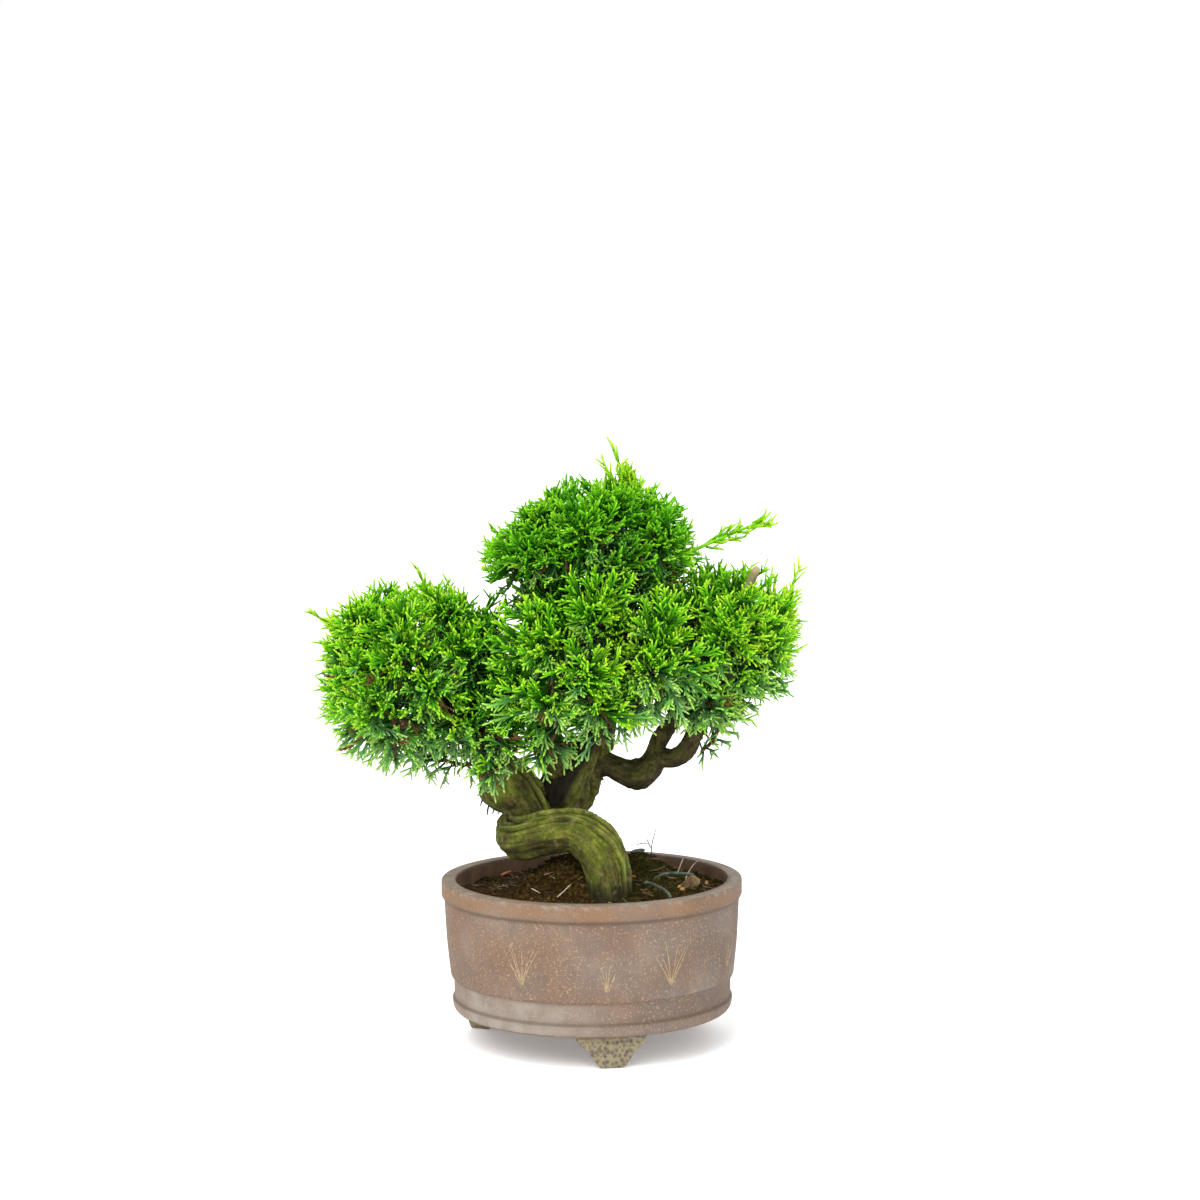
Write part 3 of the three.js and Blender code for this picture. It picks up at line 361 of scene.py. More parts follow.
clay, tree, shader = new_material("clay", 0.72, 0.3)
cloudy = ramp(tree, grain(tree, 14, 6), (0.32, low(0)), (0.68, low(1)))
warmth = blend(tree, 0.5, painted(tree, "warm"), cloudy)
body = blend(tree, ramp(tree, warmth, (0.25, low(0)), (0.75, low(1))), CLAY_MAUVE, CLAY_BROWN)
mottle = ramp(tree, grain(tree, 2.2, 6), (0.3, low(0)), (0.7, low(0.5)))
body = blend(tree, mottle, body, (0.115, 0.08, 0.062))
specks = ramp(tree, grain(tree, 0.8, 3), (0.56, low(0)), (0.65, low(0.9)))
speck_places = ramp(tree, grain(tree, 11, 4), (0.35, low(0.6)), (0.6, low(1)))
speckled = blend(tree, blend(tree, 1.0, specks, speck_places, "MULTIPLY"), body, OCHRE)
# The pale mix is the hard-water bloom, and on the rim's flat top a painted highlight.
bloom_and_highlight_noise = ramp(tree, grain(tree, 7, 9), (0.28, low(0.5)), (0.62, low(1)))
bloom_and_highlight_share = blend(tree, 1.0, painted(tree, "bloom_and_highlight"), bloom_and_highlight_noise, "MULTIPLY")
weathered = blend(tree, bloom_and_highlight_share, speckled, BLOOM_AND_HIGHLIGHT)
worn_noise = ramp(tree, grain(tree, 3, 7), (0.3, low(0.4)), (0.6, low(1)))
worn = blend(tree, blend(tree, 1.0, painted(tree, "worn"), worn_noise, "MULTIPLY"), weathered, LIP_ORANGE)
# Inside the pot the clay darkens below the rim: painted shade.
inner_shade_color = ramp(tree, grain(tree, 7, 6), (0.35, INNER_SHADE_BROWN), (0.7, (0.2, 0.115, 0.065)))
lined = blend(tree, painted(tree, "inner"), worn, inner_shade_color)
# Painted shadow lines under the lip, at the step in the recessed band and along the base edge.
shadow_lined = blend(tree, painted(tree, "shadow_line"), lined, (0.085, 0.052, 0.032))
cells = grain(tree, 1.9, kind="ShaderNodeTexVoronoi")
net = ramp(tree, cells, (0.12, (0.07, 0.058, 0.04)), (0.4, (0.165, 0.135, 0.10)),
           (0.62, (0.27, 0.25, 0.135)))
tree.links.new(blend(tree, painted(tree, "net"), shadow_lined, net), shader.inputs["Base Color"])
bump(tree, shader, grain(tree, 0.5, 4), 0.10, bump(tree, shader, grain(tree, 2.4, 6), 0.22))

scratch_fill, tree, shader = new_material("scratch_fill", 0.85, 0.2)
tree.links.new(ramp(tree, grain(tree, 1.2, 4), (0.3, (0.24, 0.165, 0.10)), (0.62, (0.43, 0.33, 0.21))),
               shader.inputs["Base Color"])
print("clay and its scratches are mixed")

# %% [markdown]
# A thrown pot is a turned shape, so its section is drawn once as a chain of points and spun about
# the pot's axis. Each corner of the section is rounded by a short arc, as a wet finger rounds it.

# %% Pot body
SPIN_STEPS = 168
POT_SECTION = [
    (9, 12.5, 0.5), (54.2, 12.5, 1.2), (55.6, 14.2, 0.8), (56, 17.3, 0.5), (55.2, 18.5, 0.4),
    (55.3, 24.9, 0.5), (56.6, 26.9, 0.5), (58.1, 40, 4), (58.9, 57.4, 0.8), (60, 58.8, 0.6),
    (60, 64.9, 0.7), (54.2, 65, 0.7), (53.6, 45, 4), (51.4, 24, 3), (48.5, 19.5, 1.5), (9, 19.5, 0.5),
]
SECTION_PITCH = 1.6


def rounded(section, arc_steps=3):
    """A closed chain of points in the plane with each corner rounded by its own radius."""
    chain = []
    for i, (r, z, radius) in enumerate(section):
        corner = Vector((r, z))
        before = Vector(section[i - 1][:2]) - corner
        after = Vector(section[(i + 1) % len(section)][:2]) - corner
        start = corner + before.normalized() * min(radius, before.length * 0.45)
        end = corner + after.normalized() * min(radius, after.length * 0.45)
        for k in range(arc_steps + 1):
            t = k / arc_steps
            chain.append(start * (1 - t) ** 2 + corner * 2 * t * (1 - t) + end * t**2)
    return chain


def divided(chain, pitch):
    """A closed chain with points added on its long stretches."""
    fine = []
    for i, point in enumerate(chain):
        ahead = chain[(i + 1) % len(chain)]
        cuts = max(1, round((ahead - point).length / pitch))
        fine += [point.lerp(ahead, k / cuts) for k in range(cuts)]
    return fine


section = divided(rounded(POT_SECTION), SECTION_PITCH)
pot = mesh_piece("pot_fine", [place(p.x, 0, p.y) for p in section], [])
pick(pot)
pot.data.edges.add(len(section))
pot.data.edges.foreach_set("vertices", [k % len(section) for i in range(len(section)) for k in (i, i + 1)])
bpy.ops.object.mode_set(mode="EDIT")
bpy.ops.mesh.select_all(action="SELECT")
bpy.ops.mesh.spin(steps=SPIN_STEPS, angle=2 * math.pi, center=place(0, 0, 0), axis=(0, 0, 1))
bpy.ops.object.mode_set(mode="OBJECT")
clean(pot, 1e-5)
print("pot body faces", len(pot.data.polygons))

# %% [markdown]
# The three feet are cloud-shaped: two lobes a side that draw in to a small flat sole. The front
# of each is pressed with a net of pits on either side of a low ridge.

# %% Feet
FOOT_TURNS = (-81.3, 38.7, 158.7)
FOOT_FRONT = 51.4
FOOT_DEPTH = 8.0
FOOT_HALF = [(13.5, 13.6), (13.5, 11.6), (13.1, 10.2), (12.2, 9.0), (10.9, 8.0), (9.6, 7.3),
             (8.8, 6.4), (8.0, 4.9), (7.0, 3.0), (5.8, 1.3), (4.9, 0.4), (4.1, 0.0)]
PIT_PITCH = 1.95


def foot(turn):
    """One foot, its front towards a bearing about the pot's axis."""
    outline = FOOT_HALF + [(-x, z) for x, z in reversed(FOOT_HALF)]
    piece = mesh_piece("foot", [(x * MM, -FOOT_FRONT * MM, z * MM) for x, z in outline],
                       [list(range(len(outline)))])
    pick(piece)
    bpy.ops.object.mode_set(mode="EDIT")
    bpy.ops.mesh.select_all(action="SELECT")
    bpy.ops.mesh.extrude_region_move(TRANSFORM_OT_translate={"value": (0, FOOT_DEPTH * MM, 0)})
    bpy.ops.object.mode_set(mode="OBJECT")
    clean(piece)
    modify(piece, "BEVEL", width=0.6 * MM, segments=2, limit_method="ANGLE", angle_limit=math.radians(50))
    facing = Matrix.Rotation(math.radians(turn + 90), 4, "Z")
    piece.matrix_world = Matrix.Translation(place(0, 0, 0)) @ facing
    pick(piece)
    bpy.ops.object.transform_apply(location=True, rotation=True, scale=True)
    return piece


def pit_places(seed):
    """Where the pits of a foot's front lie, across and up, in staggered rows either side."""
    draw = random.Random(seed)
    spots = []
    for row in range(6):
        z = 2.6 + row * PIT_PITCH
        half = np.interp(z, [p[1] for p in reversed(FOOT_HALF)], [p[0] for p in reversed(FOOT_HALF)])
        x = 1.7 + (row % 2) * PIT_PITCH / 2
        while x < half - 1.1:
            for side in (-1, 1):
                spots.append((side * x + draw.uniform(-0.3, 0.3), z + draw.uniform(-0.3, 0.3)))
            x += PIT_PITCH
    return spots


def pits(turn, seed):
    """The cutters for one foot's pits, as small balls half sunk in its front."""
    balls = []
    spin = Matrix.Rotation(math.radians(turn + 90), 3, "Z")
    for x, z in pit_places(seed):
        spot = spin @ Vector((x, -FOOT_FRONT - 0.1, z))
        bpy.ops.mesh.primitive_ico_sphere_add(subdivisions=1, radius=0.52 * MM, location=place(*spot))
        balls.append(bpy.context.object)
    return balls


feet = [foot(turn) for turn in FOOT_TURNS]
foot_pits = join([ball for k, turn in enumerate(FOOT_TURNS) for ball in pits(turn, k)], "foot_pits")
print("pits", len(foot_pits.data.polygons) // 20)

# %% [markdown]
# The wall is scratched with tufts of reeds, drawn freehand in the leather-hard clay. Each stroke
# is a thin bent rod laid on the wall, and all of them are cut out of it in one go. The rods carry
# the pale colour that fills the scratches, and the cut faces keep it.

# %% Reed scratches
STROKE_WIDTH = 0.62


def wall_radius(z):
    """The pot's outer radius in millimetres at a height on its wall."""
    return float(np.interp(z, (26.9, 40, 57.4), (56.6, 58.1, 58.9)))


def stroke(bearing, height, lean, length, curl, width=STROKE_WIDTH):
    """One scratch from a point on the wall: its lean from upright, its length and its curl."""
    steps = 9
    curve = bpy.data.curves.new("stroke", "CURVE")
    curve.dimensions = "3D"
    curve.bevel_depth = width / 2 * MM
    curve.bevel_resolution = 1
    curve.use_fill_caps = True
    line = curve.splines.new("POLY")
    line.points.add(steps - 1)
    along, up = 0.0, height
    for k in range(steps):
        angle = lean + curl * k / (steps - 1)
        turn = math.radians(bearing) + along / wall_radius(height)
        r = wall_radius(up) + 0.04
        line.points[k].co = (*place(r * math.cos(turn), r * math.sin(turn), up), 1)
        line.points[k].radius = 1.15 - 0.75 * k / (steps - 1)
        along += length / steps * math.sin(angle)
        up += length / steps * math.cos(angle)
    rod = bpy.data.objects.new("stroke", curve)
    bpy.context.scene.collection.objects.link(rod)
    pick(rod)
    bpy.ops.object.convert(target="MESH")
    return bpy.context.object


def reed_tuft(bearing, foot_height, size, seed):
    """A tuft of reeds: blades that fan out from one foot, and a few short dashes for seeds."""
    draw = random.Random(seed)
    rods = []
    for k in range(6):
        lean = (k - 2.5) * 0.17 + draw.uniform(-0.05, 0.05)
        curl = 0.5 * lean + draw.uniform(-0.2, 0.25)
        length = size * draw.uniform(0.7, 1.05)
        rods.append(stroke(bearing + lean, foot_height + draw.uniform(-0.5, 0.8), lean, length, curl))
    for k in range(4):
        turn = draw.uniform(-8, 8)
        up = foot_height + size * draw.uniform(0.75, 1.0)
        rods.append(stroke(bearing + turn, up, draw.uniform(0.5, 1.1), 2.4, 0.2, 0.5))
    return rods


TUFTS = [(-118, 33, 17, 1), (-84, 31.5, 11, 2), (-58, 32, 19, 3), (-22, 33, 12, 4),
         (35, 32, 18, 5), (82, 32, 12, 6), (128, 33, 18, 7), (176, 32, 14, 8)]
rods = [rod for tuft in TUFTS for rod in reed_tuft(*tuft)]
scratches = join(rods, "scratches")
clean(scratches)
scratches.data.materials.append(scratch_fill)
print("strokes", len(rods))

# %% [markdown]
# One boolean adds the feet, one presses the pits and one cuts the scratches. Then the wall is
# made a little uneven, as a hand-thrown one is, and the mesh gets values that say where the clay
# is warm, pale or worn, where painted shade lies inside the rim and in thin lines at its steps,
# and where a painted highlight lies on the rim's top. Smooth shading comes last, and spares the
# sharp edges of the cuts.

# %% Cut and join the pot


def combine(piece, other, operation, crossing=False):
    """Adds another solid to a piece, or cuts it out, and removes it."""
    modify(piece, "BOOLEAN", operation=operation, solver="EXACT", object=other, use_self=crossing,
           material_mode="TRANSFER")
    bpy.data.objects.remove(other)


pot.data.materials.append(clay)
for one_foot in feet:
    one_foot.data.materials.append(clay)
foot_pits.data.materials.append(clay)
combine(pot, join(feet, "feet"), "UNION")
combine(pot, foot_pits, "DIFFERENCE")
combine(pot, scratches, "DIFFERENCE", crossing=True)

spots = points_of(pot)
radius = np.hypot(spots[:, 0], spots[:, 1])
height = spots[:, 2]
outside = radius > 54.9
wobble = noise_at(spots, 26) * 0.16
upright = np.clip((height - 14) / 4, 0, 1) * np.clip((64.2 - height) / 3, 0, 1) * (radius > 40)
direction = spots * (1, 1, 0) / np.maximum(radius, 1)[:, None]
set_points(pot, spots + direction * (wobble * upright)[:, None])
patch = noise_at(spots, 22, 3.0)
bearing = np.arctan2(spots[:, 1], spots[:, 0])
band = ((height > 12.8) & (height < 25.6)) * (0.7 + 0.3 * patch)
left_side = np.exp(-(((bearing + 2.3) / 0.75) ** 2))
haze_and_rim_highlight = np.clip(0.16 + 0.3 * noise_at(spots, 17, 9.0), 0, 1) * (height > 27)
chipped = np.clip(3.2 * noise_at(spots, 2.4, 21.0) - 0.35, 0, 1) * (height > 63.8)
# The rim's flat top is painted paler all round, a painted highlight; the chips along its outer edge are
# wear.
haze_and_rim_highlight += chipped * (radius > 57.5) + 0.3 * (height > 64.6) * (radius > 54)
warm_side = 0.5 - spots[:, 0] / 105 - spots[:, 1] / 400
paint(pot, "warm", np.clip(warm_side + 0.3 * noise_at(spots, 20, 31.0), 0, 1))
pale = outside * (band * (0.06 + 1.25 * left_side) + haze_and_rim_highlight) + 0.16 * (height < 17.5)
paint(pot, "bloom_and_highlight", np.clip(pale, 0, 1))
rim = np.exp(-(((height - 61.8) / 3.2) ** 2)) * (radius > 59.3)
paint(pot, "worn", np.clip(rim * (0.75 + 0.5 * noise_at(spots, 8, 5.0)), 0, 1))
# Below the rim the inner wall is painted darker, as shade.
inside = (radius < 54.7) & (height > 20)
paint(pot, "inner", inside * np.clip((64.8 - height) / 1.2, 0, 1))
# Painted shadow lines: under the lip, at the step in the recessed band and at the base edge.
paint(pot, "shadow_line", np.clip(np.exp(-(((height - 58) / 0.8) ** 2)) + np.exp(-(((height - 17.9) / 0.8) ** 2))
                           + np.exp(-(((height - 12.6) / 0.5) ** 2)), 0, 1) * outside * 0.7)
paint(pot, "net", (height < 12.2) * (radius < 53) * (radius > 49) * 0.7)
pick(pot)
bpy.ops.object.shade_smooth_by_angle(angle=math.radians(40))
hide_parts("pot")
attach(pot, "root")
print("pot faces", len(pot.data.polygons))

# %% [markdown]
# The grain of the bark has to follow each limb, so the limbs are drawn here as lines, through
# stations of a middle and a radius. For any point of the mesh the lines tell which limb it is on,
# how far along it lies and on which side. Painting all this by hand would take far longer.

# %% Limb lines
LIMBS = {
    "trunk": [(9, -21, 38, 9.5), (9, -22.5, 52, 10.4), (8.8, -23.2, 61, 9.8), (7.2, -22.2, 70, 9.2),
              (4, -20, 78, 8.7), (-1.8, -17, 84, 8.2), (-9.5, -14, 85.8, 8.1), (-17.4, -12.6, 84.2, 8.4),
              (-25.6, -9.8, 81.6, 8.5), (-30.8, -0.8, 80.8, 8.2), (-28, 8.6, 83.4, 8.6),
              (-20.4, 13.4, 88, 9.6), (-12.5, 13.5, 94, 11), (-8.5, 14, 101, 11.4), (-4.5, 13.4, 108, 9.4),
              (0.5, 11.6, 115, 6.6), (3.6, 9.4, 122, 5), (5.4, 7.2, 130, 4.3), (6.4, 5.4, 141, 3.8),
              (7.2, 4.4, 156, 3.3), (8.8, 4, 173, 2.8), (9.6, 3.4, 189, 2.2), (8.8, 2, 204, 1.7)],
    "left_knee": [(-22, 4, 84, 8.4), (-25.4, 4.4, 92, 9.2), (-29.6, 4.8, 99, 9.8), (-35, 4, 105, 9),
                  (-40, 2, 111, 6.8), (-46, -1.5, 119, 4.8)],
    "left_upper": [(-9, 13, 102, 9), (-13.6, 12, 110, 8.2), (-17.4, 9.6, 118, 6.4), (-21, 6, 126.5, 4.6)],
    "right_loop": [(0, 12, 108, 6), (5, 10.8, 108.6, 4.8), (10, 9, 107.6, 4.3), (15.6, 7, 105.4, 5.9),
                   (21, 5.4, 105.2, 6.8), (24.8, 4.2, 110, 4.9), (25.4, 3.8, 115.6, 3.8)],
    "right_fork": [(23.4, 4.2, 110.6, 4.4), (28, 1.8, 112.4, 3.9), (34.4, -2, 112.8, 4.2),
                   (38.8, -4.4, 117, 4)],
    "cut_root": [(20, -25, 45, 3.6), (29, -23.8, 55, 3.3), (35.6, -21.6, 62, 3.1),
                 (41.6, -18.9, 67.8, 2.5)],
}
TRUNK_LIMB, KNEE_LIMB, UPPER_LIMB, LOOP_LIMB, FORK_LIMB, ROOT_LIMB = range(len(LIMBS))
LINE_STEPS = 12


def limb_samples():
    """Rows along every limb: middle, way, two sides square to it, radius, length so far, number."""
    rows = []
    for number, stations in enumerate(LIMBS.values()):
        fine = []
        for a, b in zip(stations, stations[1:]):
            fine += [np.array(a) + (np.array(b) - a) * k / LINE_STEPS for k in range(LINE_STEPS)]
        fine = np.array(fine)
        for _ in range(10):
            fine[1:-1] = (fine[:-2] + fine[1:-1] * 2 + fine[2:]) / 4
        side = np.array((1.0, 0.0, 0.0))
        along = 0.0
        for k in range(len(fine) - 1):
            way = fine[k + 1, :3] - fine[k, :3]
            along += np.linalg.norm(way)
            way /= np.linalg.norm(way)
            side = side - way * side.dot(way)
            side /= np.linalg.norm(side)
            rows.append((fine[k, :3], way, side, np.cross(way, side), fine[k, 3], along, number))
    return rows


SAMPLES = limb_samples()


def limb_places(points):
    """For each point: its direction around the limb, its way along it, the limb's radius and number."""
    middles = np.array([row[0] for row in SAMPLES])
    radii = np.array([row[4] for row in SAMPLES])
    best = np.empty(len(points), dtype=int)
    for start in range(0, len(points), 4000):
        part = points[start:start + 4000]
        gap = np.linalg.norm(part[:, None] - middles[None], axis=2) / radii
        best[start:start + 4000] = gap.argmin(axis=1)
    picked = [np.array([row[k] for row in SAMPLES])[best] for k in range(7)]
    offset = points - picked[0]
    a = (offset * picked[2]).sum(axis=1)
    b = (offset * picked[3]).sum(axis=1)
    size = np.maximum(np.hypot(a, b), 1e-3)
    along = picked[5] + (offset * picked[1]).sum(axis=1)
    return np.stack((a / size, b / size), axis=1), along, picked[4], picked[6]


print("limb samples", len(SAMPLES))

# %% [markdown]
# The trunk starts from the frame's own limb shapes, so every bend and branch keeps its place. A
# copy is smoothed, rebuilt as an even net of small faces, and pushed in and out by noise that is
# stretched along each limb, because old juniper bark runs in long strings. A few ridges stand out
# of the low bow. Each is a narrow crest with a groove beside it, at a bearing that wanders a
# little. All this could be sculpted by hand, but a formula follows every bend by itself.

# %% Trunk
TRUNK_PITCH = 0.62
trunk = cad_copy("trunk", "trunk_fine")
modify(trunk, "SUBSURF", levels=2)
modify(trunk, "REMESH", mode="VOXEL", voxel_size=TRUNK_PITCH * MM)
modify(trunk, "SMOOTH", factor=0.5, iterations=6)

RIDGE_LINES = ((8, 1.15), (-12, 0.3), (-30, 0.75), (-49, 0.3), (38, 0.45))
UPPER_LINES = (62, 82, 102, 124, 150)
UPPER_REACH = 0.8
BOW_END = 92
FOLD_START = 98
BARK_TOP = 150


def long_ridges(around, along, number):
    """Sharp ridges that run along the low bow and the left knee, on the side their bend leaves free."""
    angle = np.degrees(np.arctan2(around[:, 1], around[:, 0]))
    angle = angle + np.where(number == TRUNK_LIMB, 34 * np.clip((along - 34) / 26, 0, 1), 0)
    total = np.zeros(len(angle))
    for k, (line, strength) in enumerate(RIDGE_LINES):
        wander = 9 * noise_at(np.column_stack((along / 17, number * 9, along * 0 + k * 5)), 1.0)
        gap = (angle - line - wander + 180) % 360 - 180
        swell = 1 + 1.1 * noise_at(np.column_stack((along / 9, number * 7, along * 0 + k * 11)), 1.0)
        crest = np.exp(-((gap / 6) ** 2)) - 0.75 * np.exp(-(((gap + 10) / 5) ** 2))
        total += crest * strength * np.clip(swell, 0.15, 1.6)
    total *= ((number == TRUNK_LIMB) & (along < BOW_END)) | (number == KNEE_LIMB)
    for k, line in enumerate(UPPER_LINES):
        wander = 9 * noise_at(np.column_stack((along / 14, number * 9, along * 0 + k * 7)), 1.0)
        gap = (angle - line - 34 - wander + 180) % 360 - 180
        crest = np.exp(-((gap / 6.5) ** 2)) - 0.6 * np.exp(-(((gap + 10) / 5) ** 2))
        total += crest * UPPER_REACH * ((number == TRUNK_LIMB) & (along > FOLD_START))
    return total


def bark_height(points):
    """How far the bark stands out at each point, in millimetres, with its parts."""
    around, along, radius, number = limb_places(points)
    lines = long_ridges(around, along, number)
    is_smooth = ((number == TRUNK_LIMB) & (along < BOW_END)) | (number == KNEE_LIMB)
    twist = along / 55
    turned = np.stack((around[:, 0] * np.cos(twist) - around[:, 1] * np.sin(twist),
                       around[:, 0] * np.sin(twist) + around[:, 1] * np.cos(twist)), axis=1)
    far = number * 37.0
    coarse = np.column_stack((turned * radius[:, None], along / 5 + far))
    ridge = 1 - 2.4 * np.abs(noise_at(coarse, 5.2))
    narrow = np.column_stack((turned * radius[:, None], along / 4 + far))
    strip = 1 - 2.0 * np.abs(noise_at(narrow, 1.9, 7.0))
    flake = noise_at(points, 2.6, 4.0)
    crumb = noise_at(points, 1.0, 2.0)
    reach = np.clip(radius / 9, 0.12, 1.1)
    rough = np.where(is_smooth, 0.28, 1.0)
    knobs = noise_at(points, 7.5, 8.0) * np.where(number >= UPPER_LIMB, 1.1, 0.4)
    coarse_bark = rough * (1.1 * ridge + 0.65 * strip + 0.6 * flake)
    height = reach * (coarse_bark + knobs) + 0.12 * crumb + 1.3 * lines
    old_bark = 0.6 * ridge + 0.5 * strip + 0.3 * flake
    seen_ridge = np.where(is_smooth, 0.15 + 1.35 * lines + 0.3 * strip, old_bark)
    return height, seen_ridge, along, number, radius


points = points_of(trunk)
thick = points[:, 2] < BARK_TOP
lift = np.zeros(len(points))
ridge = np.zeros(len(points))
along = np.zeros(len(points))
number = np.full(len(points), -1.0)
radius = np.ones(len(points))
lift[thick], ridge[thick], along[thick], number[thick], radius[thick] = bark_height(points[thick])
KNOB, KNOB_REACH, KNOB_HEIGHT = (-39, 2, 101), 9, 2.4
lift += KNOB_HEIGHT * np.exp(-((np.linalg.norm(points - KNOB, axis=1) / KNOB_REACH) ** 2))
WAIST_DRAW = 3.2
drawn_in = WAIST_DRAW * np.clip((points[:, 0] - 9) / 8, 0, 1)
drawn_in = drawn_in * np.clip((86 - points[:, 2]) / 16, 0, 1) * (number == TRUNK_LIMB)
set_points(trunk, points + normals_of(trunk) * lift[:, None] - drawn_in[:, None] * (1, 0, 0))
around, fibre_along, fibre_radius, fibre_number = limb_places(points)
fibre = np.column_stack((around * fibre_radius[:, None], fibre_along / 9 + fibre_number * 31))
held = trunk.data.attributes.new("fibre", "FLOAT_VECTOR", "POINT")
held.data.foreach_set("vector", fibre.astype(np.float32).ravel())
print("trunk faces", len(trunk.data.polygons))

# %% [markdown]
# Moss and algae grow where the bark stays damp: thickest on the low limb that bows out of the
# soil, thinner up the folded trunk, and not at all on the overhung side, which gets painted shade.
# The mesh carries a value for each, so that the bark's material can follow the real bends.

# %% Bark weathering and painted shade
points = points_of(trunk)
normals = normals_of(trunk)
on_trunk = number == TRUNK_LIMB
bow = on_trunk * np.clip((95 - along) / 25, 0, 1)
fold = on_trunk * np.clip((along - 70) / 20, 0, 1) * np.clip((150 - along) / 25, 0, 1)
knee = (number == KNEE_LIMB) * 0.75
damp = np.clip(0.95 * bow + 0.45 * fold + knee + 0.3 * (radius > 3), 0, 1)
damp = damp * np.clip((points[:, 2] - 60) / 8, 0.15, 1)
facing = np.clip(0.55 + 0.45 * normals[:, 2] - 0.25 * normals[:, 0], 0, 1)
patches = np.clip(0.5 + 1.1 * noise_at(points, 7, 6.0), 0, 1)
paint(trunk, "moss", np.clip(damp * (0.35 + 0.8 * patches) * (0.35 + 0.9 * facing), 0, 1))
paint(trunk, "ridge", np.clip(0.5 + 0.5 * ridge, 0, 1))
# The dark value is painted shade: on the overhung side of the folded trunk, under the limbs and on the
# right loop and fork. It also darkens the trunk near the soil.
turn_to_eye = np.degrees(np.arctan2(around[:, 1], around[:, 0]))
shaded_side = np.clip((52 - turn_to_eye) / 14, 0, 1) * (turn_to_eye > -100)
shaded_side = shaded_side * np.clip((along - FOLD_START) / 6, 0, 1)
shaded_side *= on_trunk & (along < 150)
underside_shade = np.clip(-normals[:, 2] * 1.2 - 0.2, 0, 1)
near_soil = np.clip((73 - points[:, 2]) / 9, 0, 1) * on_trunk
right_loop_shade = (number >= LOOP_LIMB) * (number <= FORK_LIMB)
shade = 0.95 * shaded_side + 0.5 * underside_shade + 0.4 * right_loop_shade + 0.6 * near_soil
paint(trunk, "dark", np.clip(shade, 0, 1))
STUB_END = (66.2, -4.6, 189.4)
lichen = np.clip(1.6 * noise_at(points, 2.6, 12.0) - 0.62, 0, 0.4) * bow
from_stub = np.linalg.norm(points - STUB_END, axis=1)
lichen += 0.9 * np.clip((3.4 - from_stub) / 1.2, 0, 1)
lichen += 0.65 * np.clip((24 - from_stub) / 3, 0, 1) * (radius < 3.6)
cut_face = (number == ROOT_LIMB) * np.clip((points[:, 0] - 39) / 4, 0, 1) * 0.5
paint(trunk, "lichen", np.clip(lichen + cut_face, 0, 1))
paint(trunk, "twig", (radius < 3) & (from_stub > 24))
print("mossy points", int((damp > 0.5).sum()))

# %% [markdown]
# The bark's colour is built in layers, from the wood up: brown wood, twigs, moss, pale worn
# crests, lichen, and last the painted shade of the overhung side, the undersides and the right
# loop, which also darkens the trunk near the soil. Wood and moss are darker in the grooves, partly
# as painted shade. Each layer shows where its value on the mesh says, and fine strands and nap
# break all of them up.

# %% Bark material
bark, tree, shader = new_material("bark", 0.85, 0.25)
wood = ramp(tree, grain(tree, 3.2, 8), (0.3, (0.016, 0.011, 0.003)), (0.5, (0.058, 0.042, 0.012)),
            (0.72, (0.13, 0.098, 0.032)))
twigs = ramp(tree, grain(tree, 1.6, 6), (0.3, (0.06, 0.033, 0.014)), (0.7, (0.24, 0.14, 0.065)))
wood = blend(tree, painted(tree, "twig"), wood, twigs)
# Wood is darker in the grooves and lighter on the crests: partly the bark's own tone, partly painted shade
# in the grooves.
wood_crest = ramp(tree, painted(tree, "ridge"), (0.25, low(0.25)), (0.85, low(1.3)))
wood = blend(tree, 0.9, wood, wood_crest, "MULTIPLY")
moss_color = ramp(tree, grain(tree, 6, 9), (0.25, (0.052, 0.06, 0.006)), (0.5, (0.115, 0.135, 0.012)),
                  (0.72, (0.2, 0.21, 0.03)))
# Moss darkens almost to black in the grooves beside the ridges: painted shade.
grooves = ramp(tree, painted(tree, "ridge"), (0.0, low(0.03)), (0.2, low(0.3)), (0.5, low(0.95)),
               (0.8, low(1.3)))
moss_color = blend(tree, 0.95, moss_color, grooves, "MULTIPLY")
moss_edge = ramp(tree, grain(tree, 4.5, 9), (0.3, low(0.35)), (0.55, low(1.25)))
mossy = blend(tree, blend(tree, 1.0, painted(tree, "moss"), moss_edge, "MULTIPLY"), wood, moss_color)
crest_share = ramp(tree, painted(tree, "ridge"), (0.84, low(0)), (0.98, low(0.4)))
pale_crest = blend(tree, 1.0, crest_share, painted(tree, "moss"), "MULTIPLY")
strands = ramp(tree, fibres(tree, 1.1), (0.36, low(0.4)), (0.5, low(0.95)), (0.66, low(1.3)))
stranded = blend(tree, 0.95, mossy, strands, "MULTIPLY")
mossy = blend(tree, painted(tree, "moss"), stranded, blend(tree, 0.4, mossy, strands, "MULTIPLY"))
nap = ramp(tree, grain(tree, 0.9, 6), (0.3, low(0.55)), (0.5, low(0.95)), (0.7, low(1.3)))
mossy = blend(tree, 0.8, mossy, nap, "MULTIPLY")
mossy = blend(tree, pale_crest, mossy, (0.26, 0.30, 0.11))
mossy = blend(tree, painted(tree, "lichen"), mossy, (0.42, 0.34, 0.18))
# Last, the dark value lays painted shade over every layer.
shadowed = blend(tree, painted(tree, "dark"), mossy, (0.012, 0.009, 0.004))
tree.links.new(shadowed, shader.inputs["Base Color"])
bump(tree, shader, grain(tree, 0.6, 5), 0.12, bump(tree, shader, fibres(tree, 1.1), 0.5))
repaint(trunk, bark)
smooth(trunk)
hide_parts("trunk")
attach(trunk, "root")
print("bark is painted")

# %% [markdown]
# Adult juniper foliage is a mass of cords, each clad in tiny scale leaves. A cord forks left and
# right towards its end, and the newest forks are yellow green. A few such shoots are modelled
# once, in three lengths, from three- and four-sided tapering tubes of only a few dozen faces.

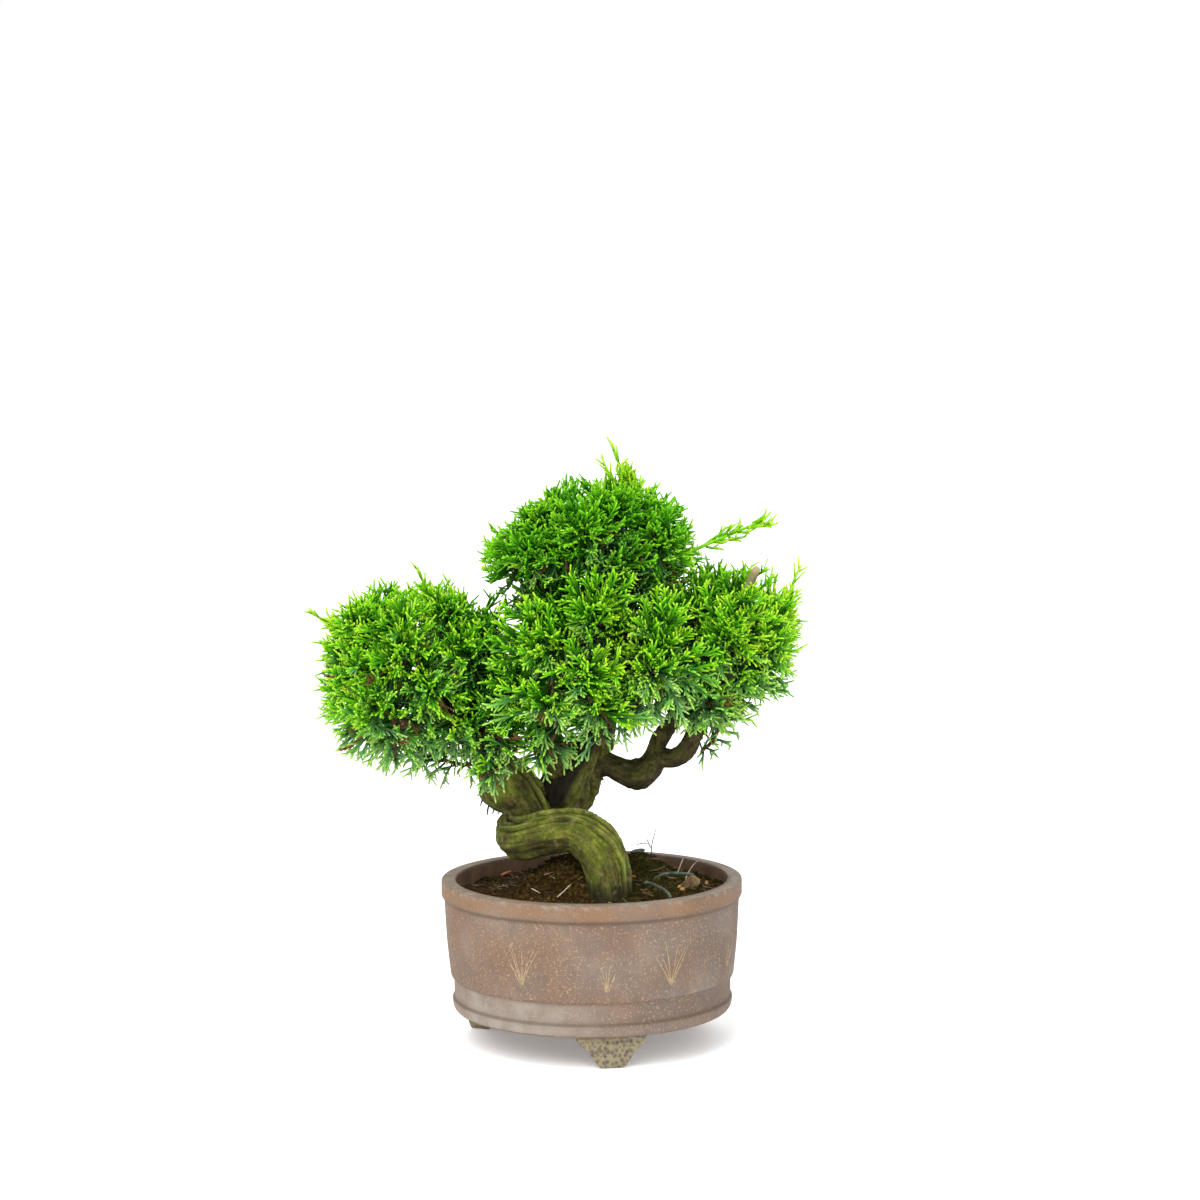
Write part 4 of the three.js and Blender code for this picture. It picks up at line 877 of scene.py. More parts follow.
# %% Shoot patterns
CORD_R = 0.56
SIDE_R = 0.47
SHOOT_LENGTHS = (6.2, 11.5, 17.0)
SHOOT_FORKS = (2, 4, 6)


def tube(path, radii, sides, spin):
    """Points and faces of a closed tube along a path; its end is drawn to a blunt tip."""
    points, faces = [], []
    for k, (spot, r) in enumerate(zip(path, radii)):
        ahead = path[min(k + 1, len(path) - 1)] - path[max(k - 1, 0)]
        way = ahead.normalized()
        side = way.orthogonal().normalized()
        other = way.cross(side)
        for j in range(sides):
            angle = spin + 2 * math.pi * j / sides
            points.append(spot + (side * math.cos(angle) + other * math.sin(angle)) * r)
    for k in range(len(path) - 1):
        for j in range(sides):
            a, b = k * sides + j, k * sides + (j + 1) % sides
            faces.append((a, b, b + sides, a + sides))
    last = (len(path) - 1) * sides
    points.append(path[-1] + (path[-1] - path[-2]).normalized() * radii[-1] * 1.2)
    faces += [(last + j, last + (j + 1) % sides, len(points) - 1) for j in range(sides)]
    faces.append(tuple(reversed(range(sides))))
    return points, faces


def shoot_pattern(length, forks, seed):
    """One shoot that grows up z from the origin: points, faces, and how near each is to a tip."""
    draw = random.Random(seed)
    bend = draw.uniform(-0.07, 0.07)
    lean = draw.uniform(-0.05, 0.05)

    def axis(t):
        return Vector((bend * length * t * t, lean * length * t * t, length * t))

    points, faces = tube([axis(t) for t in (0, 0.35, 0.7, 0.95)],
                         [CORD_R * 0.85, CORD_R, CORD_R, CORD_R * 0.8], 4, 0.4)
    # A tip value near 0 at the foot of a cord becomes painted shade in the foliage ramp; near 1 it is the
    # fresh tip.
    tips = [(p.z / length) ** 2 * min(1, 8 / length + 0.3) for p in points]
    side = 1
    for k in range(forks):
        t = 0.3 + 0.5 * (k + draw.uniform(-0.3, 0.3)) / max(forks - 1, 1)
        reach = draw.uniform(4.2, 6.4) * (1.25 - 0.6 * t) * min(1, length / 10)
        angle = side * draw.uniform(0.38, 0.6)
        out = draw.uniform(-0.3, 0.3)
        way = Vector((math.sin(angle), out, math.cos(angle))).normalized()
        start = axis(t)
        radii = [SIDE_R, SIDE_R * 0.85]
        more, more_faces = tube([start, start + way * reach], radii, 3, draw.uniform(0, 6))
        offset = len(points)
        points += more
        faces += [tuple(i + offset for i in face) for face in more_faces]
        tips += [min(1.0, t * t * 0.45 + 0.62 * (p - start).length / reach) for p in more]
        side = -side
    return np.array([tuple(p) for p in points]), faces, np.array(tips)


PATTERNS = [[shoot_pattern(length, forks, seed + 20 * k) for seed in range(6)]
            for k, (length, forks) in enumerate(zip(SHOOT_LENGTHS, SHOOT_FORKS))]
print("faces in the shoots", [len(kind[0][1]) for kind in PATTERNS])

# %% [markdown]
# The grower clips the crown to an outline. Seen from the front it runs through the points below,
# in millimetres across and up. Shoots that would pass it are shortened towards it, to about half
# their length at most, and each has up to a few millimetres of slack, so that the edge isn't
# smooth. A point is carried to the pot's middle plane to be judged.

# %% Clipping outline
CROWN_OUTLINE = np.array([
    (-107, 170), (-103, 157), (-108, 135), (-101, 121), (-92, 112), (-74, 108), (-60, 111), (-47, 113),
    (-43, 107), (-35, 115), (-23, 110), (-15, 116), (-7, 111), (-1, 122), (8, 126), (12, 121), (18, 117),
    (24, 126), (32, 131), (40, 125), (48, 123), (56, 126), (61, 134), (77, 138), (84, 153), (82, 169),
    (76, 180), (74, 189), (67, 191), (56, 189), (49, 191), (42, 196), (41, 204), (37, 214), (28, 223),
    (20, 230), (10, 231), (0, 227), (-10, 224), (-19, 215), (-31, 207), (-43, 201), (-45, 191), (-39, 185),
    (-29, 187), (-22, 182), (-27, 180), (-40, 174), (-46, 175), (-55, 182), (-67, 186), (-81, 186),
    (-90, 179), (-96, 171)], dtype=float)


def seen_from_front(points):
    """Points in millimetres carried along the camera's sight onto the pot's middle plane."""
    eye = np.array(CAMERA_PLACE)
    share = -eye[1] / (points[:, 1] - eye[1])
    return (eye + (points - eye) * share[:, None])[:, (0, 2)]


def inside_outline(points):
    """How far inside the clipping outline points lie, in millimetres; outside it is negative."""
    flat = seen_from_front(points)
    ahead = np.roll(CROWN_OUTLINE, -1, axis=0)
    edge = ahead - CROWN_OUTLINE
    nearest = np.full(len(flat), 1e9)
    inside = np.zeros(len(flat), dtype=bool)
    for start, end, step in zip(CROWN_OUTLINE, ahead, edge):
        share = np.clip(((flat - start) @ step) / (step @ step), 0, 1)
        nearest = np.minimum(nearest, np.linalg.norm(flat - start - share[:, None] * step, axis=1))
        crosses = (start[1] > flat[:, 1]) != (end[1] > flat[:, 1])
        cut = start[0] + step[0] * (flat[:, 1] - start[1]) / (step[1] if step[1] else 1e-9)
        inside ^= crosses & (flat[:, 0] < cut)
    return np.where(inside, nearest, -nearest)


print("outline points", len(CROWN_OUTLINE))

# %% [markdown]
# In the frame each shoot of a spray is a three-sided spike. Its foot and its tip are read from
# the mesh, and the spike is taken off its twig, so that fine shoots can grow in its place. Then
# the tips that pass the clipping outline are drawn in.

# %% Where the shoots grow
SPRAYS = sorted(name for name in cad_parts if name.startswith(("spray", "sprig")))
twigs_of = {}
feet_list, tips_list, owner_list = [], [], []
for name in SPRAYS:
    twig = cad_copy(name, "twig_" + name)
    body = bmesh.new()
    body.from_mesh(twig.data)
    ends = [vertex for vertex in body.verts if len(vertex.link_edges) == 3]
    for vertex in ends:
        corners = [edge.other_vert(vertex).co for edge in vertex.link_edges]
        feet_list.append(sum(corners, Vector()) / 3)
        tips_list.append(vertex.co.copy())
        owner_list.append(name)
    bmesh.ops.dissolve_verts(body, verts=ends)
    body.to_mesh(twig.data)
    body.free()
    twigs_of[name] = twig

axis_place = np.array((POT_X, POT_Y, 0))
feet_mm = (np.array(feet_list) - axis_place) / MM
tips_mm = (np.array(tips_list) - axis_place) / MM
owners = np.array(owner_list)
on_spray = np.array([owner.startswith("spray") for owner in owner_list])
MOST_CUT = 0.45
MOST_SLACK = 5.0
CROWN_NEAR = 34.0
slack_draw = np.random.default_rng(5)
slack = MOST_SLACK * slack_draw.uniform(0, 1, len(tips_mm)) ** 2.5
for share in np.arange(0.9, MOST_CUT - 0.01, -0.1):
    past = on_spray & (inside_outline(tips_mm) < -slack)
    spans = (np.array(tips_list) - np.array(feet_list))[past] / MM
    tips_mm[past] = feet_mm[past] + spans * share
print("spikes", len(feet_mm), "still outside", int((on_spray & (inside_outline(tips_mm) < -2)).sum()))

# %% [markdown]
# A clipped crown is dense, and the frame's spikes alone would leave holes in it. So loose spots
# are tried on a grid through the crown. A spot with no tip near it, and with a foot within reach,
# gets a new shoot that grows to it. The low middle and the branch stub stay open.

# %% Fill the thin places
LOW_CENTRE = (-34, 20, 126)
LOW_FILL_Z, LOW_FILL_GAP = 128, 7
STUB_X, STUB_CLEAR, STUB_Z, STUB_Y = 63, 7, 172, 6
FILL_PITCH = 4.6
FILL_JITTER = 1.8
CLEAR_OF_TIPS = 5.2
NEAREST_FILL, LONGEST_FILL = 5.0, 17.0
fill_draw = np.random.default_rng(11)


def tree_of(spots):
    """A search tree of points."""
    tree_made = KDTree(len(spots))
    for k, spot in enumerate(spots):
        tree_made.insert(spot, k)
    tree_made.balance()
    return tree_made


def fill_round(feet, tips, names, candidates):
    """New shoots as foot, tip and spray name, from the nearest foot to each thin place."""
    foot_tree, tip_tree = tree_of(feet), tree_of(tips)
    made = []
    for spot in candidates:
        place_near, index, gap = foot_tree.find(spot)
        if not NEAREST_FILL < gap < LONGEST_FILL or names[index].startswith("sprig"):
            continue
        if tip_tree.find(spot)[2] < CLEAR_OF_TIPS:
            continue
        if any(np.abs(spot - other[1]).max() < CLEAR_OF_TIPS for other in made):
            continue
        near = [found for found, _, _ in tip_tree.find_range(spot, CROWN_NEAR)]
        outward = Vector(spot) - sum(near, Vector()) / max(len(near), 1)
        way = (Vector(spot) - place_near).normalized()
        if way.dot(outward.normalized()) < 0.1 and way.z < 0.3:
            continue
        made.append((np.array(place_near), spot, names[index]))
    return made


crown_low, crown_high = tips_mm[on_spray].min(axis=0), tips_mm[on_spray].max(axis=0)
axes = [np.arange(crown_low[k], crown_high[k], FILL_PITCH) for k in range(3)]
grid = np.stack(np.meshgrid(*axes), axis=-1).reshape(-1, 3)
kept = []
fill_feet, fill_tips, fill_names = feet_mm, tips_mm, list(owners)
for _ in range(2):
    candidates = grid + fill_draw.uniform(-FILL_JITTER, FILL_JITTER, grid.shape)
    fill_draw.shuffle(candidates)
    edge_gap = 0.4 + 4.5 * fill_draw.uniform(0, 1, len(candidates)) ** 2
    candidates = candidates[inside_outline(candidates) > edge_gap]
    flat = seen_from_front(candidates)
    low_middle = (flat[:, 0] > LOW_CENTRE[0]) & (flat[:, 0] < LOW_CENTRE[1]) & (flat[:, 1] < LOW_CENTRE[2])
    low_middle |= (flat[:, 1] < LOW_FILL_Z) & (inside_outline(candidates) < LOW_FILL_GAP)
    by_stub = (np.abs(flat[:, 0] - STUB_X) < STUB_CLEAR) & (flat[:, 1] > STUB_Z)
    by_stub &= candidates[:, 1] < STUB_Y
    candidates = candidates[~low_middle & ~by_stub]
    new = fill_round(fill_feet, fill_tips, fill_names, candidates)
    kept += new
    fill_feet = np.concatenate((fill_feet, [foot_at * 0.35 + tip_at * 0.65 for foot_at, tip_at, _ in new]))
    fill_tips = np.concatenate((fill_tips, [tip_at for _, tip_at, _ in new]))
    fill_names += [name for _, _, name in new]
    print("new shoots", len(new))

# %% [markdown]
# The photographed tree has two places where long young shoots have escaped the shears: the very
# top, and the notch beside the left pad. They are listed one by one, each as a foot and a tip.

# %% Long shoots
LONG_TIPS = [
    ((12, -1, 218), (4, -1, 230)), ((13, -1, 218), (17.5, -2, 228.5)), ((14, 0, 217), (23, 0, 225)),
    ((-45, 0, 168), (-35.5, 0, 181)), ((-45, -1, 167), (-39, -2, 179.5)), ((-44, 1, 167), (-33, 2, 176)),
]
foot_tree = tree_of(feet_mm)
for foot_at, tip_at in LONG_TIPS:
    nearest_foot = foot_tree.find(foot_at)[1]
    kept.append((np.array(foot_at), np.array(tip_at), owners[nearest_foot]))
print("long shoots", len(LONG_TIPS))

# %% [markdown]
# Young shoots at the outside are bright yellow green, and the older ones inside and below are
# greyer. So each shoot gets a light value from how far it stands out of its neighbours, upwards,
# outwards and to the front: partly that age, and partly painted light on the crown's top and front.
# A vigour says how fresh its tips are; it is lowered deep in the crown as painted shade, and
# towards the apex. A flow is the way that its part of the crown grows.

# %% How bright each shoot is
all_feet = np.concatenate((feet_mm, [fill[0] for fill in kept]))
all_tips = np.concatenate((tips_mm, [fill[1] for fill in kept]))
all_owners = list(owners) + [fill[2] for fill in kept]
is_fill = np.arange(len(all_tips)) >= len(tips_mm)
LIGHT_NEAR = 30


def flow_of(feet, tips):
    """The way the crown grows at each tip: out of the foliage around it, and a little upwards."""
    flows = np.empty((len(tips), 3))
    for k, tip in enumerate(tips):
        near = tips[np.linalg.norm(tips - tip, axis=1) < CROWN_NEAR]
        flow = (tip - near.mean(axis=0)) / CROWN_NEAR + (0, -0.04, 0.16)
        own_way = (tip - feet[k]) / np.linalg.norm(tip - feet[k])
        flow = flow / max(np.linalg.norm(flow), 0.15) + 0.5 * own_way
        flow += [0.45 * noise.noise(Vector(tip) / 11 + Vector((0, 0, 40 * axis))) for axis in (1, 2, 3)]
        flows[k] = flow / np.linalg.norm(flow)
    return flows


def lights_of(feet, tips):
    """How far each shoot stands out of the crown around it, upwards and outwards, from 0 to 1."""
    values = np.empty(len(tips))
    for k, tip in enumerate(tips):
        gap = np.linalg.norm(tips - tip, axis=1)
        middle = tips[gap < LIGHT_NEAR].mean(axis=0)
        out = (tip - middle) / LIGHT_NEAR
        way = (tip - feet[k]) / np.linalg.norm(tip - feet[k])
        # High shoots and those to the front get more: painted light on the crown's top and front.
        values[k] = 0.42 + 0.95 * out[2] + 0.45 * np.linalg.norm(out) + 0.2 * way[2] - 0.2 * out[1]
    return np.clip(values + 0.42 * noise_at(tips, 13), 0, 1)


def from_crowd(tip):
    """How far a tip stands from the middle of the tips around it, in millimetres."""
    near = all_tips[np.linalg.norm(all_tips - tip, axis=1) < LIGHT_NEAR]
    return np.linalg.norm(tip - near.mean(axis=0))


# Filled shoots, which stand inside the crown, get a little painted shade.
lights = np.clip(lights_of(all_feet, all_tips) + 0.06 - 0.1 * is_fill, 0, 1)
# Two patches at the front of the crown get lime-yellow tips: a painted pool of sunlight.
SUNLIT_PATCHES = [((12, 160), (8, 15)), ((67, 157), (11, 4))]
sun_limes = np.zeros(len(all_tips))
for middle, reach in SUNLIT_PATCHES:
    from_patch = (seen_from_front(all_tips) - middle) / reach
    sun_limes += 0.7 * np.exp(-(from_patch**2).sum(axis=1)) * (all_tips[:, 1] < 0)
flows = flow_of(all_feet, all_tips)
# Tips dim towards the apex.
vigour_and_shade = 0.95 + 0.5 * noise_at(all_tips, 15, 50.0) - 0.3 * np.clip((all_tips[:, 2] - 184) / 16, 0, 1)
standing_out = np.array([from_crowd(tip) for tip in all_tips])
# Tips that sit deep among their neighbours are dimmed: painted shade.
vigour_and_shade = np.clip(vigour_and_shade, 0.35, 1.25) * np.clip(0.3 + standing_out / 9, 0.3, 1.05)
print("mean light", round(float(lights.mean()), 2))

# %% [markdown]
# One foliage material serves every spray. It reads the values that the mesh carries: a ramp goes
# from the dark foot of a shoot to its bright tip, once for fresh shoots and once for aged ones. The
# dark foot is painted shade deep in the spray, and the bright tip is the new growth. A small cell
# pattern stands for the scale leaves, as colour and as a slight bump.

# %% Foliage material
foliage, tree, shader = new_material("foliage", 0.6, 0.1)
# The dark foot of each ramp is painted shade inside the spray; the bright end is the fresh tip.
fresh = ramp(tree, painted(tree, "tip"), (0.0, (0.010, 0.075, 0.002)), (0.2, (0.05, 0.30, 0.004)),
             (0.55, (0.2, 0.65, 0.011)), (1.0, (0.56, 0.9, 0.045)))
aged = ramp(tree, painted(tree, "tip"), (0.0, (0.034, 0.105, 0.036)), (0.35, (0.165, 0.375, 0.125)),
            (1.0, (0.5, 0.83, 0.2)))
# The light value picks aged or fresh colours: partly the shoots' age, partly painted light and shade.
lit = blend(tree, ramp(tree, painted(tree, "light"), (0.2, low(0)), (0.62, low(1))), aged, fresh)
sun_patches = ramp(tree, grain(tree, 12, 3), (0.5, low(0)), (0.72, low(0.5)))
sunny = blend(tree, 1.0, sun_patches, painted(tree, "tip"), "MULTIPLY")
warm = blend(tree, sunny, lit, (0.5, 0.66, 0.02))
# The lime value tints the tips: the sprigs' young colour, and the painted pool of sunlight in front.
limed = blend(tree, 1.0, painted(tree, "lime"), painted(tree, "tip"), "MULTIPLY")
warm = blend(tree, limed, warm, (0.6, 0.9, 0.03))
warm = blend(tree, painted(tree, "dead"), warm, (0.25, 0.13, 0.05))
scales = ramp(tree, grain(tree, 0.55, kind="ShaderNodeTexVoronoi"), (0.0, low(1.1)), (0.6, low(0.72)))
tree.links.new(blend(tree, 0.6, warm, scales, "MULTIPLY"), shader.inputs["Base Color"])
bump(tree, shader, grain(tree, 0.55, kind="ShaderNodeTexVoronoi"), 0.12)
twig_paint, tree, shader = new_material("twig_bark", 0.8, 0.25)
tree.links.new(ramp(tree, grain(tree, 1.4, 6), (0.3, (0.03, 0.016, 0.006)), (0.5, (0.09, 0.05, 0.02)),
                    (0.7, (0.26, 0.155, 0.07))), shader.inputs["Base Color"])
bump(tree, shader, grain(tree, 0.8, 5), 0.4)
print("foliage and twig finishes are mixed")

# %% [markdown]
# From one foot grow up to three shoots, the longest first. A shoot pattern is laid along a curve
# that leaves the foot straight and then turns with the flow, so that neighbours lie the same way,
# as in a real spray. Each shoot gets a random roll, so that copies of a pattern don't show.

# %% Shoots on a foot
CURVE_SHARE = 0.33
DEAD_SHARE = 0.05
HANG_SHARE = 0.4
LOW_HANG_Z, LOW_HANG_GAP = 132, 8
KIND_LIMITS = (8.4, 14.4)


def fan_shares(draw, tip, light, filled, name):
    """How long the shoots that share a foot are, against the first one."""
    if name.startswith("sprig"):
        return (0.8,)
    flat = seen_from_front(tip[None])[0]
    if LOW_CENTRE[0] < flat[0] < LOW_CENTRE[1] and flat[1] < LOW_CENTRE[2]:
        return () if draw.random() < 0.4 else (1.0,)
    low_edge = flat[1] < LOW_HANG_Z and inside_outline(tip[None])[0] < LOW_HANG_GAP
    if low_edge:
        return (1.0 + HANG_SHARE * draw.random(),)
    if filled or light < 0.3:
        return (1.0,)
    if light < 0.62:
        return (1.0, draw.uniform(0.65, 0.95))
    return (1.0, draw.uniform(0.75, 0.98), draw.uniform(0.6, 0.8))


def bent(pattern, length, start, end, flow, roll):
    """A pattern's points laid along a curve that leaves its foot straight and turns with the flow."""
    elbow = end - flow * np.linalg.norm(end - start) * CURVE_SHARE
    t = np.clip(pattern[:, 2:3] / length, 0, 1)
    spots = start * (1 - t) ** 2 + elbow * 2 * t * (1 - t) + end * t**2
    ways = (elbow - start) * (1 - t) + (end - elbow) * t
    ways /= np.linalg.norm(ways, axis=1)[:, None] + 1e-9
    spots = spots + ways * (pattern[:, 2:3] - t * length)
    side = np.cross(ways, (roll[0], roll[1], roll[2]))
    side /= np.linalg.norm(side, axis=1)[:, None] + 1e-9
    return spots + side * pattern[:, :1] + np.cross(ways, side) * pattern[:, 1:2]


sprig_ways = {name: Vector((all_tips - all_feet)[np.array(all_owners) == name].mean(axis=0)).normalized()
              for name in SPRAYS if name.startswith("sprig")}


def grown(chosen, seed):
    """All shoots of one spray: points, faces, and their tip, light, lime and dead values."""
    draw = random.Random(seed)
    points, faces, tips, shades, greens, browns = [], [], [], [], [], []
    offset = 0
    for k in chosen:
        span = Vector(all_tips[k] - all_feet[k])
        if span.length < 1.5:
            continue
        loose = all_owners[k].startswith("sprig")
        # This sprig is sparse on the real tree, so it keeps two shoots in five.
        if all_owners[k] == "sprig_1" and k % 5 > 1:
            continue
        for share in fan_shares(draw, all_tips[k], lights[k], is_fill[k], all_owners[k]):
            end = Vector(all_tips[k])
            if loose:
                end = Vector(all_feet[k]) + span * 0.6 + sprig_ways[all_owners[k]] * span.length * 0.6
            elif share > 1:
                end = Vector(all_feet[k]) + span * share
            elif share < 1:
                side = span.orthogonal().normalized()
                side.rotate(Matrix.Rotation(draw.uniform(0, 2 * math.pi), 3, span))
                way = span.normalized() + side * draw.uniform(0.22, 0.48)
                end = Vector(all_feet[k]) + way * span.length * share
            reach = (end - Vector(all_feet[k])).length
            kind = sum(reach >= limit for limit in KIND_LIMITS)
            pattern, pattern_faces, pattern_tips = draw.choice(PATTERNS[kind])
            roll = Vector([draw.gauss(0, 1) for _ in range(3)]).normalized()
            flow = 0.4 * np.array(span.normalized()) + 0.8 * flows[k] if loose else flows[k]
            points.append(bent(pattern, SHOOT_LENGTHS[kind], all_feet[k], np.array(end), flow, roll))
            faces += [tuple(i + offset for i in face) for face in pattern_faces]
            tips.append(np.clip(pattern_tips * vigour_and_shade[k] + 0.3 * loose, 0, 1))
            shades.append(np.full(len(pattern), 1.0 if loose else lights[k]))
            # Sprigs carry their young lime colour; other shoots carry the painted sunlight patches.
            greens.append(np.full(len(pattern), 0.35 if loose else sun_limes[k]))
            dead = not loose and lights[k] < 0.5 and draw.random() < DEAD_SHARE
            browns.append(np.full(len(pattern), float(dead)))
            offset += len(pattern)
    values = map(np.concatenate, (tips, shades, greens, browns))
    return np.concatenate(points) * MM + axis_place, faces, *values


print("loose sprigs", len(sprig_ways))

# %% [markdown]
# Each spray is its own piece: the smoothed twig from the frame, joined with its shoots. The twig
# carries the same four values as the shoots, because a joined mesh needs them on every point.

# %% Grow the foliage
TWIG_VALUES = {"tip": 0.6, "light": 1.0, "lime": 0.0, "dead": 0.0}
total = 0
for seed, name in enumerate(SPRAYS):
    twig = twigs_of[name]
    modify(twig, "SUBSURF", levels=1)
    repaint(twig, foliage if name.startswith("sprig") else twig_paint)
    chosen = [k for k, owner in enumerate(all_owners) if owner == name]
    points, faces, *values = grown(chosen, seed)
    leaves = mesh_piece("leaves", points, faces)
    leaves.data.materials.append(foliage)
    for (value_name, on_twig), on_leaves in zip(TWIG_VALUES.items(), values):
        paint(twig, value_name, np.full(len(twig.data.vertices), on_twig))
        paint(leaves, value_name, on_leaves)
    spray = join([leaves, twig], "foliage_" + name)
    smooth(spray)
    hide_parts(name)
    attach(spray, "root")
    total += len(spray.data.polygons)
print("foliage faces", total)

# %% [markdown]
# The soil is a disc of rings whose points are lifted to a height map: a mound under the bow of the
# trunk, a mossy rise behind the tie wires, and grains of every size from noise. A wall and a floor
# close it, so that it is a solid block like the real root ball.

# %% Soil
SOIL_RINGS = 74
SOIL_STEPS = 176
SOIL_EDGE_R = 53.6
SOIL_EDGE_Z = 59.5
HEAPS = [(-9, -4, 18, 16, 15.5), (27, -14, 18, 20, 5.5), (20, 15, 13, 14, 11), (40, -22, 9, 9, 1.6)]
SOIL_SIDE = ((53.2, 50), (51.6, 30))
soil_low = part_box("soil")[0].z / MM


def heap(x, y, middle_x, middle_y, reach_x, reach_y, height):
    """A smooth heap's height at a point."""
    return height * math.exp(-(((x - middle_x) / reach_x) ** 2) - ((y - middle_y) / reach_y) ** 2)


def ground(x, y):
    """The soil's height in millimetres before its grains."""
    lumps = 0.6 * math.sin(x * 0.31 + 1) * math.cos(y * 0.27) + 0.4 * math.sin(x * 0.13 - y * 0.41)
    level = SOIL_EDGE_Z + 0.018 * min(x, 0) + lumps
    return level + sum(heap(x, y, *one) for one in HEAPS)


def grains(x, y):
    """The soil's small lumps at a point, in millimetres."""
    spot = Vector((x, y, 0))
    lumps = 0.9 * noise.noise(spot / 4.6) + 0.8 * abs(noise.noise(spot / 1.9))
    return lumps + 0.4 * noise.noise(spot / 0.9)


def ring_of(r):
    """The points of one ring of the soil, across and along."""
    angles = [2 * math.pi * k / SOIL_STEPS for k in range(SOIL_STEPS)]
    return [(r * math.cos(angle), r * math.sin(angle)) for angle in angles]


points = [(0, 0, ground(0, 0))]
for ring in range(1, SOIL_RINGS + 1):
    r = SOIL_EDGE_R * ring / SOIL_RINGS
    for x, y in ring_of(r):
        points.append((x, y, ground(x, y) + grains(x, y) * min(1, (SOIL_EDGE_R - r) / 3 + 0.3)))
for r, z in (*SOIL_SIDE, (50.6, soil_low), (25, soil_low)):
    points += [(x, y, z) for x, y in ring_of(r)]
faces = [(0, 1 + k, 1 + (k + 1) % SOIL_STEPS) for k in range(SOIL_STEPS)]
for ring in range(SOIL_RINGS + 3):
    for k in range(SOIL_STEPS):
        a, b = 1 + ring * SOIL_STEPS + k, 1 + ring * SOIL_STEPS + (k + 1) % SOIL_STEPS
        faces.append((a, a + SOIL_STEPS, b + SOIL_STEPS, b))
faces.append(tuple(1 + (SOIL_RINGS + 3) * SOIL_STEPS + k for k in range(SOIL_STEPS)))
soil = mesh_piece("soil_fine", [place(*p) for p in points], faces)
clean(soil, 1e-7)

points = points_of(soil)
right_moss = np.clip((points[:, 0] - 8) / 8, 0, 1) * np.clip((42 - points[:, 0]) / 8, 0, 1)
left_moss = np.exp(-(((points[:, 0] + 12) / 10) ** 2) - ((points[:, 1] + 6) / 12) ** 2) * 0.5
paint(soil, "moss", np.clip((right_moss + left_moss) * (0.5 + 1.2 * noise_at(points, 5, 3.0)), 0, 1))

earth, tree, shader = new_material("earth", 0.95, 0.05)
crumbly = ramp(tree, grain(tree, 1.5, 8), (0.28, (0.004, 0.002, 0.0005)), (0.48, (0.03, 0.016, 0.004)),
                (0.66, (0.075, 0.045, 0.013)), (0.8, (0.18, 0.11, 0.035)))
green = ramp(tree, grain(tree, 1.1, 8), (0.3, (0.004, 0.004, 0.001)), (0.5, (0.02, 0.02, 0.003)),
             (0.75, (0.075, 0.075, 0.012)))
tree.links.new(blend(tree, painted(tree, "moss"), crumbly, green), shader.inputs["Base Color"])
bump(tree, shader, grain(tree, 0.5, 6), 0.35)
soil.data.materials.append(earth)
smooth(soil)
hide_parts("soil")
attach(soil, "root")
print("soil faces", len(soil.data.polygons))

# %% [markdown]
# On the soil lie crumbs of earth, cushions of moss, straws and fibres. Each kind is one small
# shape of a few faces, copied by arithmetic to many places, sizes and turns, and kept as one
# mesh, because that exports as it looks.

# %% Litter
litter_draw = random.Random(7)


def scattered(name, pattern, pattern_faces, spots, material):
    """One mesh from a small shape set at many spots: each a place, a turn and a size."""
    points, faces = [], []
    for number, (where, turn, size) in enumerate(spots):
        points.append(pattern * size * MM @ np.array(turn).T + np.array(where))
        faces += [tuple(i + number * len(pattern) for i in face) for face in pattern_faces]
    piece = mesh_piece(name, np.concatenate(points), faces)
    piece.data.materials.append(material)
    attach(piece, "root")
    print(name, len(spots), "copies")
    return piece


def turned(lean, bearing, spin=0.0):
    """A turn that leans z over by an angle towards a bearing."""
    leant = Matrix.Rotation(bearing, 3, "Z") @ Matrix.Rotation(lean, 3, "Y")
    return leant @ Matrix.Rotation(spin, 3, "Z")


def soil_spot(inside=52.0):
    """A random point on the soil in millimetres."""
    while True:
        x, y = litter_draw.uniform(-inside, inside), litter_draw.uniform(-inside, inside)
        if math.hypot(x, y) < inside:
            return x, y, ground(x, y) + grains(x, y)


print("the litter's tools are ready")

# %% [markdown]
# A crumb of earth is a small flattened ball of 20 faces with its points pushed about. At its
# size more faces wouldn't show, and there are hundreds of crumbs.

# %% Crumbs
CRUMBS = 900
bpy.ops.mesh.primitive_ico_sphere_add(subdivisions=1, radius=1)
ball = bpy.context.object
crumb_points = np.array([tuple(v.co) for v in ball.data.vertices]) * (1, 0.85, 0.7)
crumb_points += np.array([[litter_draw.uniform(-0.15, 0.15) for _ in range(3)] for _ in crumb_points])
crumb_faces = [tuple(face.vertices) for face in ball.data.polygons]
bpy.data.objects.remove(ball)

crumb_paint, tree, shader = new_material("crumb_paint", 0.95, 0.05)
tree.links.new(ramp(tree, grain(tree, 3, 5), (0.3, (0.012, 0.007, 0.002)), (0.5, (0.045, 0.026, 0.009)),
                    (0.7, (0.16, 0.10, 0.035))), shader.inputs["Base Color"])
bump(tree, shader, grain(tree, 0.5, 4), 0.15)
spots = []
for _ in range(CRUMBS):
    x, y, z = soil_spot()
    spots.append((place(x, y, z), turned(litter_draw.uniform(0, 3), litter_draw.uniform(0, 6)),
                  litter_draw.uniform(0.25, 0.95) ** 1.3))
scattered("crumbs", crumb_points, crumb_faces, spots, crumb_paint)

# %% [markdown]
# Moss grows as cushions of upright leaves. A tuft is five three-sided blades that lean apart.
# Tufts are set close together at the right, more loosely on the mound, and thinly elsewhere.

